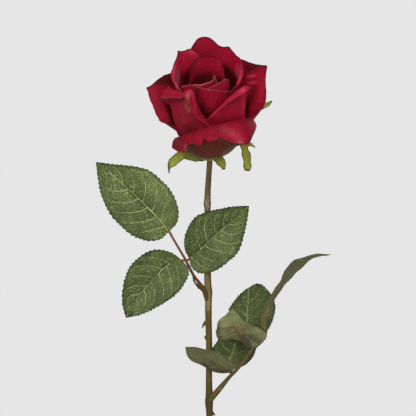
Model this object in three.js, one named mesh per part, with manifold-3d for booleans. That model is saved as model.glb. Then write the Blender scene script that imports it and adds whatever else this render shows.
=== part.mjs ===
import * as THREE from "three";
import { mergeVertices } from "three/addons/utils/BufferGeometryUtils.js";
import Module from "manifold-3d";

const wasm = await Module();
wasm.setup();

// Driving dimensions, in millimetres and degrees. +Z is up and the rose is drawn from the -Y side.
// Origin: centre of the vase's flat foot.
const gridStep = 0.67; // one step of the front view grid that outlines are given on
const gridCentre = 209.5; // grid column above the origin
const gridFloor = 416; // grid row at the height below
const gridFloorHeight = 195;
const eyeColumn = 208; // the eye that the outlines are seen from, level in front of the rose
const eyeRow = 208;
const eyeDistance = 1200;
const bloomColumn = 208.5; // where the bloom's axis meets the calyx
const bloomRow = 149.5;
const bloomTilt = 30; // lean of the bloom towards the front
const petalThickness = 0.9;
const leafThickness = 0.9;
const clearance = 0.3; // gap between neighbouring pieces
const stemGap = 0.35;
const hipTop = -2.2; // top of the calyx cup, below the petals' feet
const waterLevel = 118;
const wallSegments = 28;
const stemSides = 8;
const stemSteps = 30;
const teethPerSide = 10;
const toothDepth = 1.3;

const deg = Math.PI / 180;

// A point of the front view grid with its depth, positive towards the back.
function flat([column, row, depth = 0]) {
  return [(column - gridCentre) * gridStep, depth, gridFloorHeight + (gridFloor - row) * gridStep];
}

// The point moved along its line of sight, so that from the eye it still lies on its column and row.
function seen([x, y, z]) {
  const eye = flat([eyeColumn, eyeRow]);
  const far = 1 + y / eyeDistance;
  return [eye[0] + (x - eye[0]) * far, y, eye[2] + (z - eye[2]) * far];
}

const place = (spot) => seen(flat(spot));

// Smooth line through rows of numbers, read at t from 0 to 1 in even steps of the rows.
function along(rows, t) {
  const last = rows.length - 1;
  const x = Math.min(Math.max(t, 0), 1) * last;
  const i = Math.min(Math.floor(x), last - 1);
  const f = x - i;
  const mirror = (a, b) => a.map((value, k) => 2 * value - b[k]);
  const b = rows[i];
  const c = rows[i + 1];
  const a = i > 0 ? rows[i - 1] : mirror(b, c);
  const d = i + 2 <= last ? rows[i + 2] : mirror(c, b);
  return b.map((value, k) => {
    const curve = 3 * (value - c[k]) + d[k] - a[k];
    return value + 0.5 * f * (c[k] - a[k] + f * (2 * a[k] - 5 * value + 4 * c[k] - d[k] + f * curve));
  });
}

// The same line read by length, so that t moves evenly over the first three numbers of each row.
function byLength(rows) {
  const lengths = [0];
  for (let i = 1; i < rows.length; i++) {
    const step = Math.hypot(...[0, 1, 2].map((k) => rows[i][k] - rows[i - 1][k]));
    lengths.push(lengths[i - 1] + step);
  }
  const total = lengths[lengths.length - 1];
  return (t) => {
    const wanted = Math.min(Math.max(t, 0), 1) * total;
    let i = 1;
    while (i < lengths.length - 1 && lengths[i] < wanted) i++;
    const part = (wanted - lengths[i - 1]) / (lengths[i] - lengths[i - 1]);
    return along(rows, (i - 1 + part) / (rows.length - 1));
  };
}

const vector = (p) => new THREE.Vector3(p[0], p[1], p[2]);

// Closed solid from a list of triangles over a list of points.
function solidFrom(points, triangles) {
  const geometry = new THREE.BufferGeometry();
  const positions = new Float32Array(points.flatMap((p) => [p.x, p.y, p.z]));
  geometry.setAttribute("position", new THREE.BufferAttribute(positions, 3));
  geometry.setIndex(triangles.flat());
  return solidOf(geometry, 1e-4);
}

// Closed solid from an indexed geometry, its near points merged and its empty triangles left out.
function solidOf(indexed, nearness) {
  const geometry = mergeVertices(indexed, nearness);
  const source = geometry.index.array;
  const index = [];
  for (let i = 0; i < source.length; i += 3) {
    const [a, b, c] = [source[i], source[i + 1], source[i + 2]];
    if (a !== b && b !== c && a !== c) index.push(a, b, c);
  }
  const vertProperties = new Float32Array(geometry.attributes.position.array);
  const make = () => {
    const triVerts = new Uint32Array(index);
    return new wasm.Manifold(new wasm.Mesh({ numProp: 3, vertProperties, triVerts }));
  };
  const solid = make();
  if (solid.volume() > 0) return solid;
  for (let i = 0; i < index.length; i += 3) [index[i + 1], index[i + 2]] = [index[i + 2], index[i + 1]];
  return make();
}

// A sheet of points thickened to both sides, split into triangles alike on both faces.
function sheetSolid(sheet, thickness) {
  const rows = sheet.length;
  const columns = sheet[0].length;
  const points = [];
  const half = thickness / 2;
  for (const side of [1, -1]) {
    for (let i = 0; i < rows; i++) {
      for (let j = 0; j < columns; j++) {
        const down = sheet[Math.max(i - 1, 0)][j];
        const up = sheet[Math.min(i + 1, rows - 1)][j];
        const left = sheet[i][Math.max(j - 1, 0)];
        const right = sheet[i][Math.min(j + 1, columns - 1)];
        const normal = right.clone().sub(left).cross(up.clone().sub(down)).normalize();
        points.push(sheet[i][j].clone().addScaledVector(normal, side * half));
      }
    }
  }
  const triangles = [];
  const front = (i, j) => i * columns + j;
  const back = (i, j) => rows * columns + i * columns + j;
  const quad = (a, b, c, d) => triangles.push([a, b, c], [a, c, d]);
  for (let i = 0; i < rows - 1; i++) {
    for (let j = 0; j < columns - 1; j++) {
      quad(front(i, j), front(i, j + 1), front(i + 1, j + 1), front(i + 1, j));
      triangles.push([back(i, j), back(i + 1, j + 1), back(i, j + 1)]);
      triangles.push([back(i, j), back(i + 1, j), back(i + 1, j + 1)]);
    }
  }
  for (let j = 0; j < columns - 1; j++) {
    quad(back(0, j), back(0, j + 1), front(0, j + 1), front(0, j));
    quad(front(rows - 1, j), front(rows - 1, j + 1), back(rows - 1, j + 1), back(rows - 1, j));
  }
  for (let i = 0; i < rows - 1; i++) {
    quad(front(i, 0), front(i + 1, 0), back(i + 1, 0), back(i, 0));
    quad(back(i, columns - 1), back(i + 1, columns - 1), front(i + 1, columns - 1), front(i, columns - 1));
  }
  return solidFrom(points, triangles);
}

// Rings of points joined into one closed tube with flat ends.
function ringSolid(rings) {
  const sides = rings[0].length;
  const points = rings.flat();
  const triangles = [];
  for (let i = 0; i < rings.length - 1; i++) {
    for (let j = 0; j < sides; j++) {
      const next = (j + 1) % sides;
      const a = i * sides + j;
      const b = i * sides + next;
      triangles.push([a, b, b + sides], [a, b + sides, a + sides]);
    }
  }
  const middle = (ring) => ring.reduce((sum, p) => sum.add(p), new THREE.Vector3()).divideScalar(sides);
  points.push(middle(rings[0]), middle(rings[rings.length - 1]));
  const first = points.length - 2;
  const offset = (rings.length - 1) * sides;
  for (let j = 0; j < sides; j++) {
    const next = (j + 1) % sides;
    triangles.push([first, next, j], [first + 1, offset + j, offset + next]);
  }
  return solidFrom(points, triangles);
}

// A round stalk through rows of column, row, depth and radius, grown all round where it cuts a socket.
function stalkSolid(rows, sides, steps, grow = 0) {
  const line = byLength(rows.map((row) => [...place(row), row[3]]));
  const rings = [];
  for (let i = 0; i <= steps; i++) {
    const t = i / steps;
    const here = line(t);
    const ahead = vector(line(Math.min(t + 0.01, 1)));
    const behind = vector(line(Math.max(t - 0.01, 0)));
    const forward = ahead.sub(behind).normalize();
    const across = new THREE.Vector3(0, 1, 0).cross(forward).normalize();
    const other = forward.clone().cross(across);
    const ring = [];
    for (let j = 0; j < sides; j++) {
      const turn = (j / sides) * 2 * Math.PI;
      const spot = vector(here).addScaledVector(forward, grow * ((i === steps) - (i === 0)));
      spot.addScaledVector(across, (here[3] + grow) * Math.cos(turn));
      spot.addScaledVector(other, (here[3] + grow) * Math.sin(turn));
      ring.push(spot);
    }
    rings.push(ring);
  }
  return ringSolid(rings);
}

// A leaflet between its two cut edges and its midrib; each is read from base to tip.
function leafletSolid(leaflet) {
  const { mid, left, right, leftDepth = [0, -4, -5, -4, 0], rightDepth = [0, -4, -5, -4, 0] } = leaflet;
  const teeth = leaflet.teeth ?? teethPerSide;
  const midLine = byLength(mid.map(place));
  const edgeLine = (edge, depths) => {
    const line = byLength(edge.map(flat));
    return (t) => {
      const spot = line(t);
      return vector(seen([spot[0], midLine(t)[1] + along(depths.map((d) => [d]), t)[0], spot[2]]));
    };
  };
  const leftLine = edgeLine(left, leftDepth);
  const rightLine = edgeLine(right, rightDepth);
  const sheet = [];
  for (let k = 0; k <= 2 * teeth; k++) {
    const tip = k % 2 === 1;
    const t = 0.012 + (0.976 * (k + (tip ? 0.45 : 0))) / (2 * teeth);
    const centre = vector(midLine(t));
    const row = [];
    for (const [line, sign] of [[leftLine, -1], [rightLine, 1]]) {
      const edge = line(t);
      const away = edge.clone().sub(centre);
      const wide = Math.max(away.length(), 0.6) + (tip ? toothDepth * Math.min(1, away.length() / 6) : 0);
      edge.copy(centre).addScaledVector(away.normalize(), wide);
      const between = edge.clone().lerp(centre, 0.5);
      between.y += leaflet.sag ?? 0.8;
      row.push(sign < 0 ? [edge, between] : [between, edge]);
    }
    sheet.push([...row[0], centre, ...row[1]]);
  }
  return sheetSolid(sheet, leafThickness);
}

// The short stalk of a leaflet, from its root on the leaf's own stalk into its midrib.
function stalkletSolid({ root, mid }) {
  const into = along(mid, 0.8 / (mid.length - 1));
  return stalkSolid([[...root, 0.9], [...mid[0], 0.85], [...into, 0.6]], 6, 3);
}

// A narrow strap with a changing width, turned so that its face looks along the given direction.
function strapSolid(rows, face, steps, thickness) {
  const line = byLength(rows.map((row) => [...place(row), row[3]]));
  const sheet = [];
  for (let i = 0; i <= steps; i++) {
    const t = i / steps;
    const here = line(t);
    const forward = vector(line(Math.min(t + 0.02, 1))).sub(vector(line(Math.max(t - 0.02, 0)))).normalize();
    const across = forward.clone().cross(new THREE.Vector3(...face)).normalize();
    const spot = vector(here);
    sheet.push([
      spot.clone().addScaledVector(across, -here[3]),
      spot.clone().addScaledVector(new THREE.Vector3(...face), -0.12 * here[3]),
      spot.clone().addScaledVector(across, here[3]),
    ]);
  }
  return sheetSolid(sheet, thickness);
}

// From the bloom's own frame, with its axis up, to the leaning bloom.
const tilt = bloomTilt * deg;
const bloomBase = vector(place([bloomColumn, bloomRow, 0]));
function lean(x, y, z) {
  const leaned = new THREE.Vector3(
    x,
    y * Math.cos(tilt) - z * Math.sin(tilt),
    y * Math.sin(tilt) + z * Math.cos(tilt),
  );
  return leaned.add(bloomBase);
}

// A petal is a fan of ribs from its foot to its rim. The rim is given as column, row, depth across the
// bloom's axis and length of the roll beyond the crest. Ribs leave the foot at the start angle and reach
// the rim at the lean angle, both measured from the axis; the roll then turns further outwards. The height
// along the axis is the one at which the line of sight of the row passes the depth.
function petalSolid(petal) {
  const { foot, base, start, push, pull, turn, ease = 1, columns = 9, rows = 5, rolls = 2 } = petal;
  const leanAngle = petal.lean * deg;
  const rim = byLength(
    petal.rim.map(([column, row, depth, roll]) => {
      const above = (eyeRow - row) * gridStep;
      const level = (eyeRow - bloomRow) * gridStep + depth * Math.sin(tilt);
      const sight = above * (1 + (depth * Math.cos(tilt)) / eyeDistance) - level;
      const height = sight / (Math.cos(tilt) + (above * Math.sin(tilt)) / eyeDistance);
      const far = 1 + (depth * Math.cos(tilt) - height * Math.sin(tilt)) / eyeDistance;
      return [((column - eyeColumn) * far - bloomColumn + eyeColumn) * gridStep, depth, height, roll];
    }),
  );
  const spots = [];
  for (let j = 0; j <= columns; j++) spots.push(rim(j / columns));
  const meanX = spots.reduce((sum, p) => sum + p[0], 0) / spots.length;
  const meanY = spots.reduce((sum, p) => sum + p[1], 0) / spots.length;
  const azimuth = Math.atan2(meanY, meanX);
  const lines = spots.map((spot) => {
    let around = Math.atan2(spot[1], spot[0]) - azimuth;
    around = Math.atan2(Math.sin(around), Math.cos(around));
    const phi = azimuth + around * 0.6;
    const atFoot = new THREE.Vector3(Math.cos(phi), Math.sin(phi), 0);
    const outX = spot[0] + 6 * Math.cos(azimuth);
    const outY = spot[1] + 6 * Math.sin(azimuth);
    const atRim = new THREE.Vector3(outX, outY, 0).normalize();
    const from = atFoot.clone().multiplyScalar(foot).setZ(base);
    const to = vector(spot);
    const chord = to.distanceTo(from);
    const up = new THREE.Vector3(0, 0, 1);
    const leave = atFoot.clone().multiplyScalar(Math.sin(start * deg));
    leave.addScaledVector(up, Math.cos(start * deg)).multiplyScalar(chord * push);
    const end = atRim.clone().multiplyScalar(Math.sin(leanAngle)).addScaledVector(up, Math.cos(leanAngle));
    const outward = atRim.clone().multiplyScalar(Math.cos(leanAngle));
    outward.addScaledVector(up, -Math.sin(leanAngle));
    const roll = Math.max(spot[3], 0.1);
    // the crest of the roll lies on the rim line, so the roll starts a little below it
    let crest = 0;
    let height = 0;
    for (let i = 1; i <= 32; i++) {
      const angle = leanAngle + turn * deg * (i / 32) ** ease;
      height += ((Math.cos(angle) * Math.cos(tilt) + Math.sin(angle) * Math.sin(tilt) * atRim.y) * roll) / 32;
      crest = Math.max(crest, height);
    }
    const rate = Math.cos(leanAngle) * Math.cos(tilt) + Math.sin(leanAngle) * Math.sin(tilt) * atRim.y;
    to.addScaledVector(end, -crest / Math.max(rate, 0.3));
    const arrive = end.clone().multiplyScalar(chord * pull);
    const points = [];
    for (let i = 0; i <= rows; i++) {
      const v = i / rows;
      const point = from.clone().multiplyScalar(2 * v ** 3 - 3 * v ** 2 + 1);
      point.addScaledVector(leave, v ** 3 - 2 * v ** 2 + v);
      point.addScaledVector(to, 3 * v ** 2 - 2 * v ** 3);
      point.addScaledVector(arrive, v ** 3 - v ** 2);
      points.push(point);
    }
    for (let i = 1; i <= rolls; i++) {
      const part = i / rolls;
      let ahead = 0;
      let aside = 0;
      for (let k = 0; k < 16; k++) {
        const angle = turn * deg * ((part * (k + 0.5)) / 16) ** ease;
        ahead += (Math.cos(angle) * roll * part) / 16;
        aside += (Math.sin(angle) * roll * part) / 16;
      }
      points.push(to.clone().addScaledVector(end, ahead).addScaledVector(outward, aside));
    }
    return points.map((p) => lean(p.x, p.y, p.z));
  });
  const sheet = [];
  for (let i = 0; i < lines[0].length; i++) sheet.push(lines.map((line) => line[i]));
  return sheetSolid(sheet, petalThickness);
}

// A solid turned about the bloom's axis from rows of radius and height.
function axisSolid(profile, sides) {
  const rings = profile.map(([radius, height]) => {
    const ring = [];
    for (let j = 0; j < sides; j++) {
      const turn = (j / sides) * 2 * Math.PI;
      ring.push(lean(radius * Math.cos(turn), radius * Math.sin(turn), height));
    }
    return ring;
  });
  return ringSolid(rings);
}

// One body: the largest of the joined pieces, with sealed hollows filled. Points that all but touch are
// merged first, since that can seal a hollow.
function oneBody(solids) {
  const largest = (solid) => {
    const bodies = solid.decompose().filter((body) => body.volume() > 0);
    return bodies.reduce((best, body) => (body.volume() > best.volume() ? body : best));
  };
  return largest(solidOf(geometryOf(largest(wasm.Manifold.union(solids))), 1e-3));
}

function geometryOf(solid) {
  const { vertProperties, triVerts, numProp } = solid.getMesh();
  const geometry = new THREE.BufferGeometry();
  const positions = new Float32Array((vertProperties.length / numProp) * 3);
  for (let i = 0; i < positions.length / 3; i++) {
    for (let k = 0; k < 3; k++) positions[3 * i + k] = vertProperties[numProp * i + k];
  }
  geometry.setAttribute("position", new THREE.BufferAttribute(positions, 3));
  geometry.setIndex([...triVerts]);
  return geometry;
}

function meshOf(name, solid, material) {
  const geometry = geometryOf(solid);
  geometry.computeVertexNormals();
  const mesh = new THREE.Mesh(geometry, material);
  mesh.name = name;
  return mesh;
}

const petals = [
  // heart: hood at the back, a small pointed one, and two that wrap the front
  { foot: 3, base: 2, start: 30, push: 0.7, pull: 0.7, lean: -12, turn: 60, columns: 8, rows: 4, rolls: 1,
    rim: [[226, 96, -6, 0.5], [225.5, 84, -3, 0.5], [223.8, 73, 2, 0.6], [222.3, 63.5, 6, 0.8],
      [218, 57.5, 9, 0.8], [211, 54.8, 11, 0.8], [204, 55, 11, 0.8], [197.5, 57.8, 10, 0.8],
      [192.5, 63.8, 7, 0.8], [190, 73, 3, 0.6], [189.5, 84, -3, 0.5], [190, 96, -6, 0.5]] },
  { foot: 2, base: 2, start: 20, push: 0.6, pull: 0.6, lean: 0, turn: 40, columns: 8, rows: 4, rolls: 1,
    rim: [[192, 92, -4, 0], [193, 84.5, -6, 0], [201, 84.3, -9, 0], [208, 82.3, -9, 0],
      [212.8, 80, -8.3, 0], [214.5, 75.3, -7.5, 0], [216, 80, -7.2, 0], [217.5, 83, -6.5, 0],
      [221, 84, -4.5, 0], [223, 90, -3, 0]] },
  { foot: 3, base: 2, start: 30, push: 0.7, pull: 0.7, lean: 2, turn: 60, columns: 8, rows: 4, rolls: 1,
    rim: [[200, 98, -12.5, 0], [206, 90, -13.5, 0.5], [215.5, 85.3, -12.5, 1], [221, 82, -10.5, 1],
      [225.8, 79, -7.5, 0.8], [228.3, 79.8, -4.5, 0.6], [228.8, 84, 0, 0.5], [226, 90, 6, 0]] },
  { foot: 4, base: 2, start: 40, push: 0.9, pull: 0.8, lean: 2, turn: 70, columns: 8, rows: 4, rolls: 1,
    rim: [[183, 100, -2, 0], [183.5, 89, -7, 0.5], [186.5, 85.3, -10, 0.8], [191, 84.3, -12.5, 1],
      [198, 86.8, -15.5, 1.2], [207, 89.6, -17, 1.2], [216, 91, -16.8, 1.2], [225, 91.8, -14.5, 1.2],
      [231.5, 92.5, -10, 1], [233, 100, -4, 0]] },
  // tall back petal that wraps forwards on the right, and its neighbour on the left
  { foot: 6, base: 1, start: 55, push: 1, pull: 0.8, lean: 12, turn: 100, columns: 13, rolls: 1,
    rim: [[228, 104, -17, 0], [229.5, 92.5, -14.5, 1], [233.5, 87.8, -12, 2.5], [237, 82.5, -8, 4],
      [239.6, 76, -2, 4.5], [240.6, 70, 3, 4], [241, 64, 8, 2.5], [239.5, 58.5, 13, 1],
      [235.5, 54.5, 16, 0.8], [231.5, 49.5, 18, 0.8], [228, 46, 19, 0.8], [223, 46.6, 19.6, 0.8],
      [218, 45, 20, 0.8], [213, 40, 20, 0.8], [208.5, 37.2, 20, 0.8], [203.5, 36.6, 20, 0.8],
      [198.5, 38, 20, 0.8], [194.5, 43, 20, 0.8], [190.5, 48.5, 20, 0.5], [184, 58, 20, 0],
      [180, 75, 18, 0]] },
  { foot: 6, base: 1, start: 55, push: 1, pull: 0.8, lean: 8, turn: 110, rolls: 1,
    rim: [[212, 70, 16, 0], [206, 57, 16.5, 0.3], [199, 53.5, 17, 0.6], [190.5, 48.8, 16.5, 0.8],
      [185, 50.5, 14.5, 0.8], [181, 51.3, 12.5, 0.8], [178.6, 51, 10.5, 0.8], [178.3, 56, 8.5, 1.2],
      [176.8, 61.5, 5.5, 1.8], [175.8, 67.5, 2, 3], [175.3, 73.5, -1.5, 4], [176.3, 79, -5, 4],
      [179.3, 86, -9.5, 3.5], [183, 92.5, -13, 2], [188, 100, -17, 0]] },
  // front pair whose slanting rims cross in a V, each rolled outwards
  { foot: 8, base: 0, start: 75, push: 1.2, pull: 0.8, lean: 6, turn: 120, ease: 0.8,
    rim: [[197, 136, -23, 0], [200, 126, -23.4, 0.5], [206.5, 119.5, -23.2, 2.5], [217, 109, -22.2, 4.2],
      [226, 100, -20.5, 5.5], [233, 93.6, -18.3, 7.5], [238.5, 89, -16, 9], [242.5, 86.4, -13.8, 7.8],
      [246, 86.6, -12.2, 4.8], [246.8, 91, -11.7, 3], [244.6, 97, -12, 1.2], [243.8, 107, -12.5, 0],
      [245.5, 119, -12, 0], [246, 130, -12, 0]] },
  { foot: 8, base: 0, start: 75, push: 1.2, pull: 0.8, lean: 8, turn: 150, ease: 0.5,
    rim: [[186, 142, -17, 0], [181, 132, -16.5, 0], [175.5, 118, -12.5, 0.5], [171.5, 103, -10, 2],
      [170.5, 88.2, -10.5, 9.5], [174, 89.3, -13.5, 8.5], [179, 92, -17, 6.5], [184.5, 93, -20, 6.5],
      [190.3, 89.8, -22.2, 8.5], [194, 94.5, -22.8, 10], [197, 103.5, -23.5, 9.5],
      [201.5, 112.3, -24.3, 8], [207, 120, -25, 6], [214, 132, -25.5, 1]] },
  // outer wings, left and right
  { foot: 9, base: -1, start: 45, push: 0.4, pull: 0.7, lean: 38, turn: 50, columns: 11, rolls: 1,
    rim: [[188, 82, 22, 0], [184, 69, 22, 0.8], [173, 72, 15, 1], [165, 75.8, 10.5, 1], [158, 80, 6.5, 1],
      [152.5, 85.3, 3.5, 0.8], [149.5, 87.4, 2, 0.6], [146.8, 88.6, 0.8, 0.4], [148.6, 92, 0, 0.6],
      [150.2, 98, -1.2, 1], [154, 106, -3.2, 1.2], [157.5, 115, -5, 1.2], [161, 121.5, -6.8, 1],
      [165.5, 125, -8.8, 1], [171, 126.8, -11, 0.8], [174.5, 130.5, -12.5, 0.6], [178, 136, -14, 0.5],
      [185, 144, -17, 0]] },
  { foot: 9, base: -1, start: 60, push: 0.6, pull: 0.75, lean: 30, turn: 50, columns: 11, rolls: 1,
    rim: [[247, 130, -13, 0], [250, 118, -9, 0], [254.5, 115, -6.8, 0.8], [259, 110.5, -4.6, 0.8],
      [263, 107, -2.8, 0.8], [265.3, 101, -1.4, 0.8], [265.8, 93, -0.5, 1], [265.2, 84, 0.8, 1],
      [265.4, 76, 2.5, 1], [266.2, 70, 4, 0.8], [267, 66.6, 5.2, 0.5], [263.5, 65.6, 7, 0.6],
      [258, 65.2, 9.5, 1], [250, 62.8, 13.5, 1], [240, 59.5, 19, 0.8], [228, 62, 25, 0.5],
      [222, 76, 26, 0]] },
  // the front petal that folds over into a wavy lip
  { foot: 9, base: -1, start: 88, push: 1.45, pull: 0.9, lean: 30, turn: 135, ease: 0.4,
    columns: 16, rolls: 3,
    rim: [[176.5, 137.5, -11, 5], [179.5, 136.5, -14.5, 10], [182.8, 135.4, -17.5, 12.8],
      [186, 134.2, -19.3, 15], [189, 132.9, -20.8, 16], [190.9, 132.2, -21.5, 15],
      [192.4, 131.7, -22, 10.6], [195.5, 130.6, -23.1, 10.8], [199, 129.4, -24, 12.8],
      [202.4, 128.3, -24.7, 13.5], [204.6, 127.6, -25, 9.5], [207.5, 126.8, -25.3, 12.2],
      [211, 126, -25.5, 12.6], [215, 125.3, -25.4, 11.3], [217.6, 124.7, -25.2, 10.8],
      [222.5, 123.6, -24.7, 14.5], [228, 122.4, -23.7, 18], [235, 121, -21.8, 20.5],
      [240.5, 119.9, -18.7, 16], [244.5, 119.1, -15.2, 12.2], [247, 118.5, -12, 10], [249, 117.9, -8.5, 8],
      [250, 119, -3, 3]] },
  // two petals at the back, rolled outwards
  { foot: 8, base: -1, start: 85, push: 1.35, pull: 0.8, lean: 45, turn: 90,
    rim: [[222, 110, 24, 0], [224, 90, 28, 1], [220, 72, 31, 6], [210, 66, 33, 8], [198, 68, 31, 8],
      [188, 76, 26, 6], [180, 90, 20, 2], [180, 108, 14, 0]] },
  { foot: 8, base: -1, start: 85, push: 1.35, pull: 0.8, lean: 45, turn: 90,
    rim: [[250, 108, 6, 0], [254, 90, 12, 1], [250, 76, 19, 6], [240, 70, 26, 8], [228, 72, 30, 8],
      [218, 82, 31, 6], [212, 96, 28, 2], [212, 110, 22, 0]] },
];

// Column, row, depth and radius of the stem, from the calyx down into the vase.
const stemRows = [
  [210, 156.5, 4.6, 1.9], [209.7, 163, 2.6, 1.9], [209, 172, 1.2, 1.9], [208, 188, 0.3, 2],
  [207.6, 199, 0, 2.2], [207.4, 204, 0, 2.5], [207.6, 211, 0, 2.1], [207.6, 240, 0, 2.1],
  [207.6, 272, 0, 2.3], [207.9, 285, 0, 2.4], [208.1, 292, 0, 2.8], [208.3, 300, 0, 2.4],
  [208.4, 320, 0, 2.2], [209, 345, 0, 2.1], [209, 380, 0, 2.1], [209.2, 394, 0, 2.4],
  [209.1, 402, 0, 2.7], [209.5, 414, 0, 2.2], [210, 440, 0, 2.1], [211, 500, 0.5, 2.1],
  [213, 580, 1.5, 2.1], [215.5, 690, 3, 2.1],
];

function stemSolid() {
  const thorn = (rows) => stalkSolid(rows, 5, 3);
  return oneBody([
    stalkSolid(stemRows, stemSides, stemSteps),
    thorn([[207.5, 321, 0, 1.6], [204.8, 323.5, -0.3, 1.2], [203, 326, -0.4, 0.6],
        [202.2, 328.5, -0.4, 0.25]]),
    thorn([[208, 338, 0, 1.8], [206.2, 337.5, -0.3, 1.5], [205, 337, -0.4, 1], [204.3, 337, -0.4, 0.6]]),
    thorn([[210, 411, 0, 1.6], [212.3, 413, -0.3, 1.2], [214.3, 414.5, -0.3, 0.6],
        [215.3, 415.5, -0.3, 0.25]]),
  ]);
}

const upperStalk = [
  [207.6, 301, -0.5, 1.7], [206.3, 295, -1.5, 2.1], [203.5, 289, -3, 1.7], [199, 282.5, -5.5, 1.2],
  [193.5, 275, -8, 1], [186, 260.5, -12, 0.9], [178, 247, -14, 0.8], [170.5, 234, -15, 0.8],
];

const upperLeaflets = [
  // terminal
  { root: [172, 236, -14.8],
    mid: [[169, 231.5, -15], [162, 223, -17], [153, 213, -18.5], [143, 203, -19.5], [134, 194.5, -20],
      [124, 185.5, -20.5], [115, 177.5, -21], [106, 169.5, -21.5], [96, 162, -22]],
    left: [[169, 231.5], [160, 238.5], [147, 240], [133, 235], [121, 225], [111, 213.5], [103, 198],
      [99, 180], [96, 162]],
    right: [[169, 231.5], [176.5, 222], [177.5, 209], [171, 193], [160, 180.5], [147, 170.5], [130, 166],
      [112, 164.5], [96, 162]] },
  // right hand leaflet, in front of the stem
  { root: [186, 261, -12],
    mid: [[189.5, 259, -13], [200, 250, -14.5], [210, 240, -15.5], [220, 231, -16], [230, 223, -16],
      [240, 214, -15.5], [249, 206, -14]],
    left: [[189.5, 259], [185.5, 250], [185, 240], [189, 227], [197, 217], [208, 212], [221, 209],
      [235, 207], [249, 206]],
    right: [[189.5, 259], [191.5, 266], [199, 272], [209, 272], [218, 268.5], [228, 260.5], [237, 252],
      [243, 237], [246.5, 222], [249, 206]] },
  // left hand leaflet
  { root: [186, 260.5, -12],
    mid: [[181.5, 260.5, -13], [172, 263, -15], [163, 269, -17], [154, 279, -18], [145, 289, -18],
      [136, 300, -17], [126, 318, -15]],
    left: [[181.5, 260.5], [187.5, 268], [187, 277], [180, 289], [169, 298.5], [157, 306], [142, 313.5],
      [126, 318]],
    right: [[181.5, 260.5], [175, 255.5], [163, 251], [151, 251.5], [140, 257.5], [130, 268], [124.5, 284],
      [123, 302], [126, 318]] },
];

const stipule = [[205.5, 293, -3.2, 0.9], [201.2, 289, -4, 0.9], [197.2, 285.2, -5, 0.8],
  [194.3, 281.5, -6.2, 0.6], [193.3, 277.5, -7.2, 0.5], [193.4, 273, -8.2, 0.35]];

function upperLeafSolid() {
  const joined = oneBody([
    stalkSolid(upperStalk, 7, 14),
    ...upperLeaflets.map(stalkletSolid),
    strapSolid(stipule, [0, -1, 0], 5, 0.8),
    ...upperLeaflets.map(leafletSolid),
  ]);
  return joined.subtract(stalkSolid(stemRows, stemSides, stemSteps, stemGap));
}

const lowerStalk = [
  [209, 402, -1, 2], [213.5, 396, -2, 2.1], [219, 389.5, -2.5, 2], [223.5, 384, -3, 1.7],
  [229.5, 377, -4, 1.3], [237, 369.5, -4, 1.2], [244.5, 360.5, -4, 1.1], [251.5, 350.5, -4, 1.1],
  [257.5, 345.5, -4, 1], [263, 340, -4, 1], [266, 333, -4, 0.9], [266, 322, -4.5, 0.8],
  [267.5, 311, -5.5, 0.6],
];

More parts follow.
